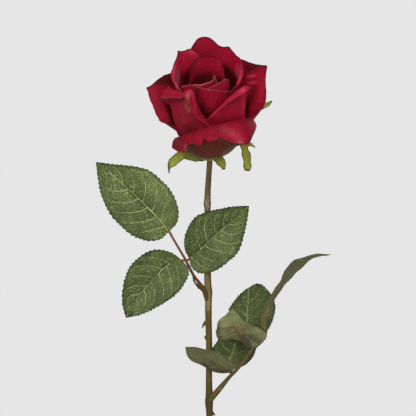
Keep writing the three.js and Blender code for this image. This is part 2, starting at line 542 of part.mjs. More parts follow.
const lowerLeaflets = [
  // near leaflets lift towards the front, so their undersides are seen
  { root: [233, 373.5, -4],
    mid: [[231, 372.5, -5], [222, 368.5, -12], [212, 362, -19], [203, 356, -27], [194, 350.5, -33],
      [185.5, 347, -38]],
    left: [[231, 372.5], [222, 373], [212, 371], [205, 367], [199, 364], [193, 361.5], [189, 357.5],
      [186.5, 352], [185.5, 347]],
    right: [[231, 372.5], [234.5, 367.5], [229, 361.5], [221, 355.5], [212, 350.7], [203, 349.5],
      [194, 347.7], [185.5, 347]],
    leftDepth: [0, 6, 8, 7, 0], rightDepth: [0, -7, -12, -9, 0], sag: 0 },
  { root: [252, 350.5, -4],
    mid: [[250.5, 349, -5], [246.5, 344, -12], [242.5, 338, -19], [239, 332, -27], [235, 327.5, -33],
      [229, 325.5, -39], [217, 328, -44]],
    left: [[250.5, 349], [245, 345], [240, 340.5], [232, 338.5], [225, 339], [219.5, 339], [216.8, 334],
      [217, 328]],
    right: [[250.5, 349], [258, 345], [263.5, 340], [265.5, 333.5], [258, 328.5], [250, 324.5],
      [243, 320.5], [237.5, 314], [232, 310], [225, 316.5], [219, 321.5], [217, 328]],
    leftDepth: [0, 6, 8, 6, 0], rightDepth: [0, 2, -8, -12, 0], sag: 0 },
  // far leaflets show their upper faces
  { root: [237, 369.5, -3],
    mid: [[236, 368.5, -1], [231, 362, 3], [231.5, 354, 9], [234.5, 346, 17], [237, 336, 25],
      [240, 326, 33], [243, 317, 39]],
    left: [[236, 368.5], [224, 365], [214, 358], [212.5, 350], [216, 344], [222, 336], [230, 327],
      [243, 317]],
    right: [[236, 368.5], [243, 365.5], [250, 360], [254, 353], [256, 345], [255, 334], [250, 323],
      [243, 317]],
    leftDepth: [0, -2, -3, -2, 0], rightDepth: [0, 4, 3, 2, 0] },
  { root: [263, 341, -3],
    mid: [[261, 339.5, -1], [252, 333, 5], [247.5, 323, 12], [247, 312, 18], [248.3, 302, 24],
      [249.8, 292.5, 29], [256.5, 283.5, 33]],
    left: [[261, 339.5], [247, 338], [237, 330], [230.5, 320], [230, 310], [233.5, 303], [239, 296],
      [245.5, 290], [251.5, 286], [256.5, 283.5]],
    right: [[261, 339.5], [268, 328], [272, 319.5], [274.5, 310], [273.5, 301.5], [270.5, 295],
      [266, 289.5], [261, 285], [256.5, 283.5]],
    leftDepth: [0, -2, -3, -2, 0], rightDepth: [0, 5, 3, 2, 0] },
  // terminal leaflet, which turns from its underside to its edge
  { root: [266, 334, -4],
    mid: [[266, 331, -4], [265.8, 320, -5], [268.3, 307, -6], [272, 297.5, -6], [279, 286.5, -5],
      [285.5, 276.5, -5], [294, 267, -5], [303, 260.5, -5], [316, 255.3, -5], [331, 254.5, -5]],
    left: [[266, 331], [261.8, 326], [260.5, 318], [262.5, 310], [266, 303], [270.5, 297], [276, 288],
      [281, 281], [284, 273], [287, 268], [291, 263.5], [296, 260], [303, 258], [310, 255.8], [318, 254.3],
      [331, 254.5]],
    right: [[266, 331], [267.5, 322], [270.5, 312], [271.8, 304], [274, 299], [280, 290.5], [284.5, 284.5],
      [290.5, 278], [297, 271], [304, 264.5], [310, 259.5], [316, 256.8], [331, 254.5]],
    leftDepth: [0, -8, -10, -12, -12, -8, 0], rightDepth: [0, 8, 10, 12, 12, 8, 0], sag: 0 },
];

function lowerLeafSolid() {
  const joined = oneBody([
    stalkSolid(lowerStalk, 8, 20),
    ...lowerLeaflets.map(stalkletSolid),
    ...lowerLeaflets.map(leafletSolid),
  ]);
  return joined.subtract(stalkSolid(stemRows, stemSides, stemSteps, stemGap));
}

const hipProfile = [[1, -7.9], [2.4, -7.6], [3.8, -6.8], [5.6, -5.6], [7.3, -4.2], [8.5, -3], [9, hipTop]];

// The front view place of a point round the bloom's axis: angle from the right, radius and height.
function round(angle, radius, height) {
  const x = radius * Math.cos(angle * deg);
  const y = radius * Math.sin(angle * deg);
  const up = y * Math.sin(tilt) + height * Math.cos(tilt);
  const depth = y * Math.cos(tilt) - height * Math.sin(tilt);
  const far = 1 + depth / eyeDistance;
  const column = eyeColumn + (bloomColumn + x / gridStep - eyeColumn) / far;
  return [column, eyeRow + (bloomRow - up / gridStep - eyeRow) / far, depth];
}

// Rows of column, row, depth and half width; the sepals hang or spread from under the petals.
const sepals = [
  { face: [0, -1, 0.2], rows: [[207, 156, 4.5, 2.2], [198, 158, 3, 2.4], [190, 156.5, 2, 2.6],
    [183, 154.8, 0.5, 2.8], [176.5, 158.1, -1, 2.9], [171.8, 163.2, -2, 2.5], [169.4, 168.3, -2.5, 1.2],
    [169, 173.5, -2.5, 0.35]] },
  { face: [0, -1, 0], rows: [[213, 155.5, 4, 2.6], [217.5, 158, 2, 3.2], [220.5, 161.5, 1, 3],
    [222, 165.5, 0.5, 2.2], [223, 170, 0.5, 0.8]] },
  { face: [0, -1, 0], rows: [[213.5, 153.5, 5.5, 2.2], [223, 151, 6.5, 2.3], [232, 147, 6.5, 2.4],
    [239, 143.2, 5, 2.6], [243.5, 143.8, 3.8, 2.8], [244.9, 150, 3.6, 2.5], [246.9, 158, 4, 2.8],
    [247.4, 166, 4.5, 2.7], [247, 171, 4.5, 1.5]] },
  { face: [0.3, 0.8, -0.5], rows: [[...round(50, 7, -4), 2.3], [...round(45, 15, -4.2), 2.6],
    [...round(40, 22, -1), 2.8], [244, 124, 15, 2.9], [250, 113, 15, 2.9], [256, 107.5, 13.5, 2.9],
    [262, 105.6, 12, 2.7], [267.5, 104, 11, 2], [272, 101, 10, 0.4]] },
  { face: [-0.5, 0.7, -0.4], rows: [[...round(130, 7, -4), 2.3], [...round(132, 16, -4.2), 2.6],
    [...round(134, 24, -1), 2.7], [...round(135, 29, 7), 2.6], [...round(136, 32, 15), 2.2],
    [...round(137, 35, 21), 1.5], [...round(138, 39, 24), 0.5]] },
  // the small lobe beside the right one's fold
  { face: [0, -1, 0], rows: [[246.5, 145.5, 3.4, 0.9], [249.5, 144.2, 3, 1.1], [252.5, 145.6, 2.8, 0.9],
    [255.3, 147.5, 2.8, 0.3]] },
];

function calyxSolid() {
  const joined = oneBody([
    axisSolid(hipProfile, 16),
    ...sepals.map((sepal) => strapSolid(sepal.rows, sepal.face, 8, 0.9)),
  ]);
  return joined.subtract(stalkSolid(stemRows, stemSides, stemSteps, stemGap));
}

const bloomCore = [[7.5, hipTop + clearance], [9, -1], [10.2, 3], [10.2, 8], [8.5, 14], [5, 18.5]];

function bloomSolid() {
  return oneBody([axisSolid(bloomCore, 14), ...petals.map(petalSolid)]);
}

// Vase: outside from the flat foot to the lip, then the inside back down.
const vaseOutside = [
  [0, 0], [24.5, 0], [26.6, 1], [28.6, 8.5], [32, 24], [34.2, 43], [32.8, 62], [27.6, 78], [21, 94],
  [15.6, 112], [12.3, 130], [11, 147], [11.6, 158], [13.6, 165.5], [15.2, 168.6], [14.8, 170],
];
const vaseInside = [
  [13, 169.6], [11, 166], [8.6, 157.5], [8, 147.5], [9, 130.5], [12.2, 112.5], [17.6, 94.5], [24, 78.5],
  [29.2, 62.5], [30.6, 43], [28.4, 25], [24.8, 11.5], [19, 5], [0, 5],
];

// A turned solid as a closed body with its axis up.
function turnedSolid(profile) {
  const points = profile.map(([radius, height]) => new THREE.Vector2(radius, height));
  const geometry = new THREE.LatheGeometry(points, wallSegments);
  geometry.rotateX(Math.PI / 2);
  geometry.deleteAttribute("normal");
  geometry.deleteAttribute("uv");
  return solidOf(geometry, 1e-4);
}

function waterSolid() {
  const wall = vaseInside.filter(([r, z]) => z < waterLevel && r > 0).reverse();
  const high = vaseInside.find(([, z]) => z < waterLevel);
  const low = vaseInside[vaseInside.indexOf(high) - 1];
  const part = (waterLevel - high[1]) / (low[1] - high[1]);
  const surface = high[0] + (low[0] - high[0]) * part;
  const profile = [[0, 5 + clearance], ...wall.map(([r, z]) => [r - clearance * 1.3, z + clearance * 0.9])];
  profile.push([surface - clearance * 1.3, waterLevel], [0, waterLevel]);
  return turnedSolid(profile).subtract(stalkSolid(stemRows, stemSides, stemSteps, clearance));
}

const paint = (color, roughness) => new THREE.MeshStandardMaterial({ color, roughness, metalness: 0 });
const looks = {
  vase: paint(0xe9e4da, 0.18),
  water: paint(0xdfe8e6, 0.05),
  stem: paint(0x6b5a33, 0.6),
  leaf: paint(0x55683a, 0.45),
  calyx: paint(0x8d8a38, 0.6),
  bloom: paint(0x8f1026, 0.6),
};

const rose = new THREE.Group();
rose.add(
  meshOf("vase", turnedSolid([...vaseOutside, ...vaseInside]), looks.vase),
  meshOf("water", waterSolid(), looks.water),
  meshOf("stem", stemSolid(), looks.stem),
  meshOf("leaf_upper", oneBody([upperLeafSolid()]), looks.leaf),
  meshOf("leaf_lower", oneBody([lowerLeafSolid()]), looks.leaf),
  meshOf("calyx", oneBody([calyxSolid()]), looks.calyx),
  meshOf("bloom", bloomSolid(), looks.bloom),
);

export default rose;
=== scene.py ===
from math import radians, sin, cos
import bpy
import numpy as np
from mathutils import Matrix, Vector


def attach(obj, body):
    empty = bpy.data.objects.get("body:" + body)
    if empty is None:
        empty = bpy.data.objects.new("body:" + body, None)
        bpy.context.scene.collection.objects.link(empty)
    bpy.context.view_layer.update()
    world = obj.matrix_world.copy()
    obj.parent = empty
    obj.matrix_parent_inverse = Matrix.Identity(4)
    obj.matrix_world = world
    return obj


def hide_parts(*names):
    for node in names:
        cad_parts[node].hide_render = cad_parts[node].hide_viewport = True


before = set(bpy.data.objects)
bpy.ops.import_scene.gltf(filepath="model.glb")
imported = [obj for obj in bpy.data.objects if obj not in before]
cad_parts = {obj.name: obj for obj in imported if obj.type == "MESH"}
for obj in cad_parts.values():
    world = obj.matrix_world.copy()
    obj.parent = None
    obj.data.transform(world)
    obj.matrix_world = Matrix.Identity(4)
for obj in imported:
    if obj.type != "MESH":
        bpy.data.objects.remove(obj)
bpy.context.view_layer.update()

# One rose with a half-open bloom in a slim vase. Tables give column, row and depth towards the back, as
# seen from the eye in front of the CAD model. Lengths are in millimetres, but meshes, lamps and the
# heights in the looks of materials are in metres.
mm = 0.001
fullTurn = 6.283
grid = dict(step=0.67, centre=209.5, floor=416, floorHeight=195, eyeColumn=208, eyeRow=208,
            eyeDistance=1200)
bloom = dict(column=208.5, row=149.5, tilt=radians(30), hipTop=-2.2)
tiltCos, tiltSin = cos(bloom["tilt"]), sin(bloom["tilt"])


def flat(rows):
    # x = (column - centre) step, y = depth, z = floor height + (floor - row) step; other numbers stay
    rows = np.array(rows, float)
    x = (rows[..., 0] - grid["centre"]) * grid["step"]
    z = grid["floorHeight"] + (grid["floor"] - rows[..., 1]) * grid["step"]
    depth = rows[..., 2] if rows.shape[-1] > 2 else 0 * x
    return np.concatenate([np.stack([x, depth, z], -1), rows[..., 3:]], -1)


eye = flat([grid["eyeColumn"], grid["eyeRow"]])


def seen(points):
    # moved along its sight line: eye + (point - eye) (1 + depth / distance) for x and z
    points = np.array(points, float)
    far = 1 + points[..., 1] / grid["eyeDistance"]
    for k in (0, 2):
        points[..., k] = eye[k] + (points[..., k] - eye[k]) * far
    return points


def place(rows):
    # rows of a table as points in front of the eye
    return seen(flat(rows))


def strokes(surface, lines):
    # largest of amount exp(-(gap / wide)^2), gap being how far in front view a point is from a line
    far = 1 + surface[..., 1] / grid["eyeDistance"]
    column = grid["eyeColumn"] + (surface[..., 0] - eye[0]) / far / grid["step"]
    row = grid["eyeRow"] - (surface[..., 2] - eye[2]) / far / grid["step"]
    spots, drawn = np.stack([column, row], -1), 0 * column
    for points, wide, amount in lines:
        points = np.array(points, float)
        for a, b in zip(points[:-1], points[1:]):
            part = np.clip(((spots - a) @ (b - a)) / ((b - a) @ (b - a)), 0, 1)
            gap = np.linalg.norm(spots - a - part[..., None] * (b - a), axis=-1)
            drawn = np.maximum(drawn, amount * np.exp(-((gap / wide) ** 2)))
    return drawn


def through(rows, t):
    # cubic through four neighbouring rows, b + f/2 (c - a + f (2a - 5b + 4c - d + f (3(b - c) + d - a)))
    rows = np.array(rows, float)
    rows = rows[:, None] if rows.ndim == 1 else rows
    last = len(rows) - 1
    padded = np.concatenate([[2 * rows[0] - rows[1]], rows, [2 * rows[-1] - rows[-2]]])
    x = np.clip(t, 0, 1) * last
    i = np.minimum(x.astype(int), last - 1)
    f = (x - i)[..., None]
    a, b, c, d = (padded[i + k] for k in range(4))
    return b + 0.5 * f * (c - a + f * (2 * a - 5 * b + 4 * c - d + f * (3 * (b - c) + d - a)))


def byLength(rows, t):
    # the same line, with t running evenly over the length of the rows' first three numbers
    rows = np.array(rows, float)
    steps = np.linalg.norm(np.diff(rows[:, :3], axis=0), axis=1)
    lengths = np.concatenate([[0], np.cumsum(steps)])
    even = np.interp(np.clip(t, 0, 1) * lengths[-1], lengths, np.linspace(0, 1, len(rows)))
    return through(rows, even)


def ease(x, low, high):
    # 3t^2 - 2t^3 with t = (x - low) / (high - low) held between 0 and 1
    t = np.clip((x - low) / (high - low), 0, 1)
    return t * t * (3 - 2 * t)


def unit(v):
    # v / |v|
    return v / np.maximum(np.linalg.norm(v, axis=-1, keepdims=True), 1e-9)


def wander(seed, *coordinates, count=6):
    # sum of sines of random direction and phase over the coordinates, about -1 to 1
    dice = np.random.default_rng(seed)
    total = 0
    for k in range(count):
        turn = sum(dice.normal() * c for c in coordinates) * (0.6 + 0.35 * k)
        total = total + np.sin(turn + dice.uniform(0, fullTurn)) / (1 + 0.35 * k)
    return total / 2.2


def lean(points):
    # from the bloom's own axis to the leaning bloom: a turn about x by the tilt, then up to its base
    x, y, z = points[..., 0], points[..., 1], points[..., 2]
    base = place([bloom["column"], bloom["row"], 0.0])
    return np.stack([x, y * tiltCos - z * tiltSin, y * tiltSin + z * tiltCos], -1) + base


def circle(sides):
    # evenly spaced angles, their cos and their sin
    turn = np.linspace(0, 2 * np.pi, sides, endpoint=False)
    return turn, np.cos(turn), np.sin(turn)


def turned(line, sides, ridge=0.0):
    # radius (1 + ridge sin 5 turn) and height carried round the vertical axis
    turn, c, s = circle(sides)
    radius = line[:, :1] * (1 + ridge * np.sin(5 * turn))
    return np.stack([radius * c, radius * s, line[:, 1:2] + 0 * turn], -1)


def normals(surface):
    # cross product of the steps across and along
    return unit(np.cross(np.gradient(surface, axis=1), np.gradient(surface, axis=0)))


def cells(index):
    # the four corners of each cell in a grid of point numbers
    return np.stack([index[:-1, :-1], index[:-1, 1:], index[1:, 1:], index[1:, :-1]], -1).reshape(-1, 4)


def sheetShell(surface, thickness, across, reach, over=0.0, under=1.0):
    # surface + n thickness / 2 and surface - n thickness / 2, joined round the rim
    n = normals(surface)
    rows, columns = surface.shape[:2]
    half = thickness[..., None] / 2
    index, far = np.arange(rows * columns).reshape(rows, columns), rows * columns
    ring = np.concatenate([index[0], index[1:, -1], index[-1, -2::-1], index[-2:0:-1, 0]])
    after = np.roll(ring, -1)
    rim = np.stack([ring + far, after + far, after, ring], -1)
    both = [np.broadcast_to(a, (rows, columns)).ravel() for a in (across, reach)]
    told = [np.stack([*both, np.full(far, side)], -1) for side in (over, under)]
    points = np.concatenate([(surface + n * half).reshape(-1, 3), (surface - n * half).reshape(-1, 3)])
    return dict(points=points, quads=np.concatenate([cells(index), cells(index)[:, ::-1] + far, rim]),
                tris=np.zeros((0, 3), int), told=np.concatenate(told))


def tubeShell(rings, told=None):
    # rings x sides points joined round, with a point in the middle of each end
    steps, sides = rings.shape[:2]
    index = np.arange(steps * sides).reshape(steps, sides)
    wrapped = np.concatenate([index, index[:, :1]], 1)
    first, last = steps * sides, steps * sides + 1
    ends = [np.stack([np.full(sides, first), wrapped[0, 1:], index[0]], -1),
            np.stack([np.full(sides, last), index[-1], wrapped[-1, 1:]], -1)]
    if told is None:
        turn = np.broadcast_to(np.linspace(0, 1, sides, endpoint=False), (steps, sides))
        reach = np.broadcast_to(np.linspace(0, 1, steps)[:, None], (steps, sides))
        told = np.stack([turn, reach, 0 * turn], -1)
    points = np.concatenate([rings.reshape(-1, 3), [rings[0].mean(0), rings[-1].mean(0)]])
    told = np.concatenate([told.reshape(-1, 3), [told[0, 0], told[-1, 0]]])
    return dict(points=points, quads=cells(wrapped), tris=np.concatenate(ends), told=told)


def loopShell(rings):
    # rings that close on themselves both ways, like a ring doughnut
    steps, sides = rings.shape[:2]
    quads = cells(np.pad(np.arange(steps * sides).reshape(steps, sides), (0, 1), mode="wrap"))
    return dict(points=rings.reshape(-1, 3), quads=quads, tris=np.zeros((0, 3), int),
                told=np.zeros((steps * sides, 3)))


def outward(shell):
    # the signed volume, a sixth of the sum of a x b . c, is made positive
    quads, tris = shell["quads"], shell["tris"]
    triangles = np.concatenate([quads[:, [0, 1, 2]], quads[:, [0, 2, 3]], tris])
    a, b, c = (shell["points"][triangles[:, k]] for k in range(3))
    if (np.cross(a, b) * c).sum() < 0:
        shell["quads"], shell["tris"] = quads[:, ::-1], tris[:, ::-1]
    return shell


def makePiece(name, shells, material, node):
    # one object from closed shells. Its points keep across, reach and side as "told", and two more
    # numbers: "phase" of the veins or the petal's tone of painted shade, painted highlight and wear,
    # and "drawn" for strokes of colour
    points, faces, count = [], [], 0
    for shell in map(outward, shells):
        points.append(shell["points"])
        faces += (shell["quads"] + count).tolist() + (shell["tris"] + count).tolist()
        count += len(shell["points"])
    mesh = bpy.data.meshes.new(name)
    mesh.from_pydata((np.concatenate(points) * mm).tolist(), [], faces)
    mesh.polygons.foreach_set("use_smooth", np.ones(len(faces), bool))
    told = np.concatenate([shell["told"] for shell in shells])
    mesh.attributes.new("told", "FLOAT_VECTOR", "POINT").data.foreach_set("vector", told.ravel())
    for key in ("phase", "drawn"):
        values = np.concatenate([shell.get(key, 0 * shell["told"][:, 0]) for shell in shells])
        mesh.attributes.new(key, "FLOAT", "POINT").data.foreach_set("value", values)
    corners = np.zeros(len(mesh.loops), np.int32)
    mesh.loops.foreach_get("vertex_index", corners)
    mesh.uv_layers.new(name="told").data.foreach_set("uv", told[corners, :2].ravel())
    mesh.materials.append(material)
    mesh.update()
    piece = bpy.data.objects.new(name, mesh)
    bpy.context.scene.collection.objects.link(piece)
    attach(piece, "root")
    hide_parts(node)


def add(tree, kind, inputs, **settings):
    # one shader node; its inputs are numbers, colours, sockets or masks
    node = tree.nodes.new("ShaderNode" + kind)
    for name, value in settings.items():
        setattr(node, name, value)
    for name, value in inputs.items():
        value = getattr(value, "socket", value)
        if isinstance(value, bpy.types.NodeSocket):
            tree.links.new(value, node.inputs[name])
        else:
            node.inputs[name].default_value = value
    return node


class Mask:
    # a value that changes over the surface; signs between masks and numbers add Math nodes
    def __init__(self, tree, socket):
        self.tree, self.socket = tree, socket

    def __add__(self, other):
        return calc(self.tree, "ADD", self, other)

    def __sub__(self, other):
        return calc(self.tree, "SUBTRACT", self, other)

    def __rsub__(self, other):
        return calc(self.tree, "SUBTRACT", other, self)

    def __mul__(self, other):
        return calc(self.tree, "MULTIPLY", self, other)

    def __truediv__(self, other):
        return calc(self.tree, "DIVIDE", self, other)

    def __or__(self, other):
        # the larger of two
        return calc(self.tree, "MAXIMUM", self, other)

    def __and__(self, other):
        # the smaller of two
        return calc(self.tree, "MINIMUM", self, other)

    def __abs__(self):
        return calc(self.tree, "ABSOLUTE", self)

    def step(self, low, high, start=0.0, end=1.0):
        # smooth step from start at low to end at high
        return made(self.tree, "MapRange", {0: self, 1: low, 2: high, 3: start, 4: end},
                    interpolation_type="SMOOTHSTEP")


def made(tree, kind, inputs, output=0, **settings):
    # the same node, with one of its outputs as a mask
    return Mask(tree, add(tree, kind, inputs, **settings).outputs[output])


def calc(tree, operation, a, b=0.0, clamp=False):
    return made(tree, "Math", {0: a, 1: b}, operation=operation, use_clamp=clamp)


def coats(look, tint, *layers):
    # each layer is a mask and a colour or its name: tint + mask (colour - tint)
    for mask, tone in layers:
        tone = look[tone] if isinstance(tone, str) else tone
        tint = add(mask.tree, "Mix", {0: mask, 6: tint, 7: tone}, data_type="RGBA").outputs[2]
    return tint


def colour(r, g, b):
    return (r, g, b, 1.0)


def newGroup(name, inputs, work):
    # inputs are numbers, or None for a vector; work(group, inputs) gives the masks that come out
    group = bpy.data.node_groups.new(name, "ShaderNodeTree")
    for label, default in inputs.items():
        kind = "NodeSocketVector" if default is None else "NodeSocketFloat"
        socket = group.interface.new_socket(label, in_out="INPUT", socket_type=kind)
        if default is not None:
            socket.default_value = default
    given = {socket.name: Mask(group, socket) for socket in group.nodes.new("NodeGroupInput").outputs}
    masks = work(group, given)
    for label in masks:
        group.interface.new_socket(label, in_out="OUTPUT", socket_type="NodeSocketFloat")
    out = group.nodes.new("NodeGroupOutput").inputs
    for label, mask in masks.items():
        group.links.new(mask.socket, out[label])
    return group


class Finish:
    # a material with its constants, the surface's own masks and its clouds and grain
    def __init__(self, name, cloudSize, grainSize, constants):
        self.material = bpy.data.materials.new(name)
        self.material.use_nodes = True
        tree = self.tree = self.material.node_tree
        self.shader = tree.nodes["Principled BSDF"].inputs
        for socket, value in constants.items():
            self.shader[socket].default_value = value
        self.spot = add(tree, "TexCoord", {}).outputs["Object"]
        told = add(tree, "SeparateXYZ", {0: self.told("told", "Vector")})
        self.across, self.reach, self.face = (Mask(tree, socket) for socket in told.outputs)
        clouds = self.use(mottle, CloudSize=cloudSize, GrainSize=grainSize)
        self.cloud, self.grain = clouds["Cloud"], clouds["Grain"]

    def told(self, name, output="Fac"):
        return made(self.tree, "Attribute", {}, output, attribute_name=name)

    def high(self):
        return made(self.tree, "SeparateXYZ", {0: self.spot}, 2)

    def use(self, group, **inputs):
        # a node group, with the place on the surface on the inputs of those names
        names = [item.name for item in group.interface.items_tree]
        for label, value in (("Vector", self.spot), ("Across", self.across), ("Reach", self.reach)):
            if label in names:
                inputs.setdefault(label, value)
        node = add(self.tree, "Group", inputs, node_tree=group)
        return {socket.name: Mask(self.tree, socket) for socket in node.outputs}

    def done(self, tint, rough, height=None, depth=0.0002, strength=0.6):
        self.tree.links.new(tint, self.shader["Base Color"])
        self.tree.links.new(rough.socket, self.shader["Roughness"])
        if height is not None:
            bump = add(self.tree, "Bump", {"Height": height, "Distance": depth, "Strength": strength})
            self.tree.links.new(bump.outputs[0], self.shader["Normal"])
        return self.material


def mottleMasks(group, given):
    # soft clouds and fine grain over the Object coordinates
    spot = given["Vector"]
    cloud = made(group, "TexNoise", {
        "Vector": spot, "Scale": given["CloudSize"], "Detail": 4.0, "Roughness": 0.6})
    grain = made(group, "TexNoise", {"Vector": spot, "Scale": given["GrainSize"], "Detail": 2.0})
    return dict(Cloud=cloud.step(0.3, 0.7), Grain=grain.step(0.3, 0.7))


def streakMasks(group, given):
    # fibres along the reach: noise over across x count, reach x length, so that it is long one way
    spot = made(group, "CombineXYZ", {
        0: given["Across"] * given["Count"], 1: given["Reach"] * given["Length"]})
    broad = made(group, "TexNoise", {"Vector": spot, "Scale": 0.35, "Detail": 3.0, "Distortion": 0.3})
    fine = made(group, "TexNoise", {"Vector": spot, "Scale": 1.0, "Detail": 3.0, "Roughness": 0.6})
    return dict(Streak=broad.step(0.35, 0.65), Fine=fine.step(0.35, 0.65))


def veinMasks(group, given):
    # midrib where |across| is small, fading to the tip; side veins where the phase is near a whole
    # number and a half, broken by noise; the net is the border of small cells
    away, reach, spot = abs(given["Across"]), given["Reach"], given["Vector"]
    broken = made(group, "TexNoise", {"Vector": spot, "Scale": 130.0, "Detail": 2.0})
    side = abs(calc(group, "FRACT", given["Phase"]) - 0.5).step(0.008, 0.05, 1.0, 0.0)
    side = side * away.step(0.6, 0.95, 1.0, 0.1) * reach.step(0.75, 0.92, 1.0, 0.0)
    side = side * broken.step(0.36, 0.56, 0.4, 1.0)
    part = away / (0.013 - reach * 0.006)
    midrib = part.step(0.4, 1.4, 1.0, 0.0) * reach.step(0.5, 0.85, 1.0, 0.1)
    midrib = midrib * broken.step(0.40, 0.60, 0.35, 1.0)
    net, fine = (made(group, "TexVoronoi", {"Vector": spot, "Scale": size}, feature="DISTANCE_TO_EDGE")
                 for size in (given["Cell"], given["Cell"] * 2.3))
    return dict(Midrib=midrib, Beside=part.step(1.5, 8.0, 1.0, 0.0), Side=side,
                Net=net.step(0.03, 0.11, 1.0, 0.0), Fine=fine.step(0.0, 0.2, 1.0, 0.0))


def dryMasks(group, given):
    # browned borders: 1 beyond a broken line near the end of the reach and near both sides
    noise = made(group, "TexNoise", {"Vector": given["Vector"], "Scale": 260.0, "Detail": 3.0})
    end = (1.0 - abs(given["Across"])) & (1.0 - given["Reach"])
    return dict(Mask=(end / (given["Width"] * (noise * 2.0))).step(0.4, 1.0, 1.0, 0.0))


print("shader groups")
onSurface = {"Vector": None, "Across": 0.0, "Reach": 0.0}
mottle = newGroup("mottle", {"Vector": None, "CloudSize": 90.0, "GrainSize": 1500.0}, mottleMasks)
streak = newGroup("streak", {"Across": 0.0, "Reach": 0.0, "Count": 60.0, "Length": 5.0}, streakMasks)
vein = newGroup("vein", {**onSurface, "Phase": 0.0, "Cell": 420.0}, veinMasks)
dryBorder = newGroup("dryBorder", {**onSurface, "Width": 0.04}, dryMasks)


petalLook = dict(
    deep=colour(0.155, 0.0025, 0.007), lit=colour(0.285, 0.0025, 0.022), wearAndSheen=colour(0.36, 0.095, 0.10),
    foot=colour(0.130, 0.018, 0.014), green=colour(0.070, 0.040, 0.012), dry=colour(0.04, 0.003, 0.004),
    soft=colour(0.22, 0.016, 0.028), paintedHighlight=colour(0.39, 0.012, 0.040), shade=colour(0.045, 0.0035, 0.003),
    moss=colour(0.12, 0.13, 0.07), sheen=colour(1.0, 0.3, 0.4), ribs=90.0, bowlTop=0.0230, bowlLow=0.0165)


def petalMaterial(border):
    skin = Finish("petal_" + border, 60.0, 1300.0, {
        "Sheen Weight": 0.06, "Sheen Roughness": 0.4, "Sheen Tint": petalLook["sheen"],
        "Specular IOR Level": 0.14, "Specular Tint": petalLook["sheen"]})
    tone, drawn = skin.told("phase"), skin.told("drawn")
    patches = skin.use(mottle, CloudSize=260.0, GrainSize=620.0)
    patch, speck = patches["Cloud"], patches["Grain"]
    ribs = skin.use(streak, Count=petalLook["ribs"], Length=3.0)["Fine"]
    # the bowl: outer faces low on the bloom's axis, brown-green, darkened as painted shade under the lip
    axis = (0, -tiltSin, tiltCos)
    start = Vector(place([bloom["column"], bloom["row"], 0.0]) * mm).dot(Vector(axis))
    high = made(skin.tree, "VectorMath", {0: skin.spot, 1: axis}, 1, operation="DOT_PRODUCT") - start
    low = (high + skin.cloud * 0.003).step(petalLook["bowlLow"], petalLook["bowlTop"], 1.0, 0.0)
    bands = skin.use(streak, Count=22.0, Length=0.8)["Fine"]
    bowl = coats(petalLook, petalLook["foot"], (bands * 0.6, "green"), (drawn, "moss"))
    # a tone above 0 is painted shade. Below 0 it is a painted highlight, and from -0.25 to -1 more and
    # more wear with painted sheen
    tint = coats(
        petalLook, petalLook["deep"], (skin.cloud, "lit"), (skin.reach.step(0.2, 0.8, 0.0, 0.6), "lit"),
        (ribs * 0.10, "deep"), (patch * 0.22, "deep"), (skin.grain * 0.04, "wearAndSheen"),
        ((tone + patch * 0.08).step(0.0, 1.0, 0.0, 0.96), "shade"),
        (tone.step(-0.3, 0.0, 1.0, 0.0), "paintedHighlight"),
        (tone.step(-1.0, -0.25, 1.0, 0.0) * speck.step(0.0, 1.0, 0.35, 1.0), "wearAndSheen"),
        (drawn * ribs.step(0.0, 1.0, 0.7, 1.2) * speck.step(0.3, 0.7, 0.7, 1.3), "wearAndSheen"),
        (low * skin.face, bowl), (skin.use(dryBorder, Width=0.022)["Mask"] * 0.8, border))
    return skin.done(tint, skin.grain.step(0.0, 1.0, 0.46, 0.62), ribs * 0.35 + speck * 0.65, 0.00012, 0.55)
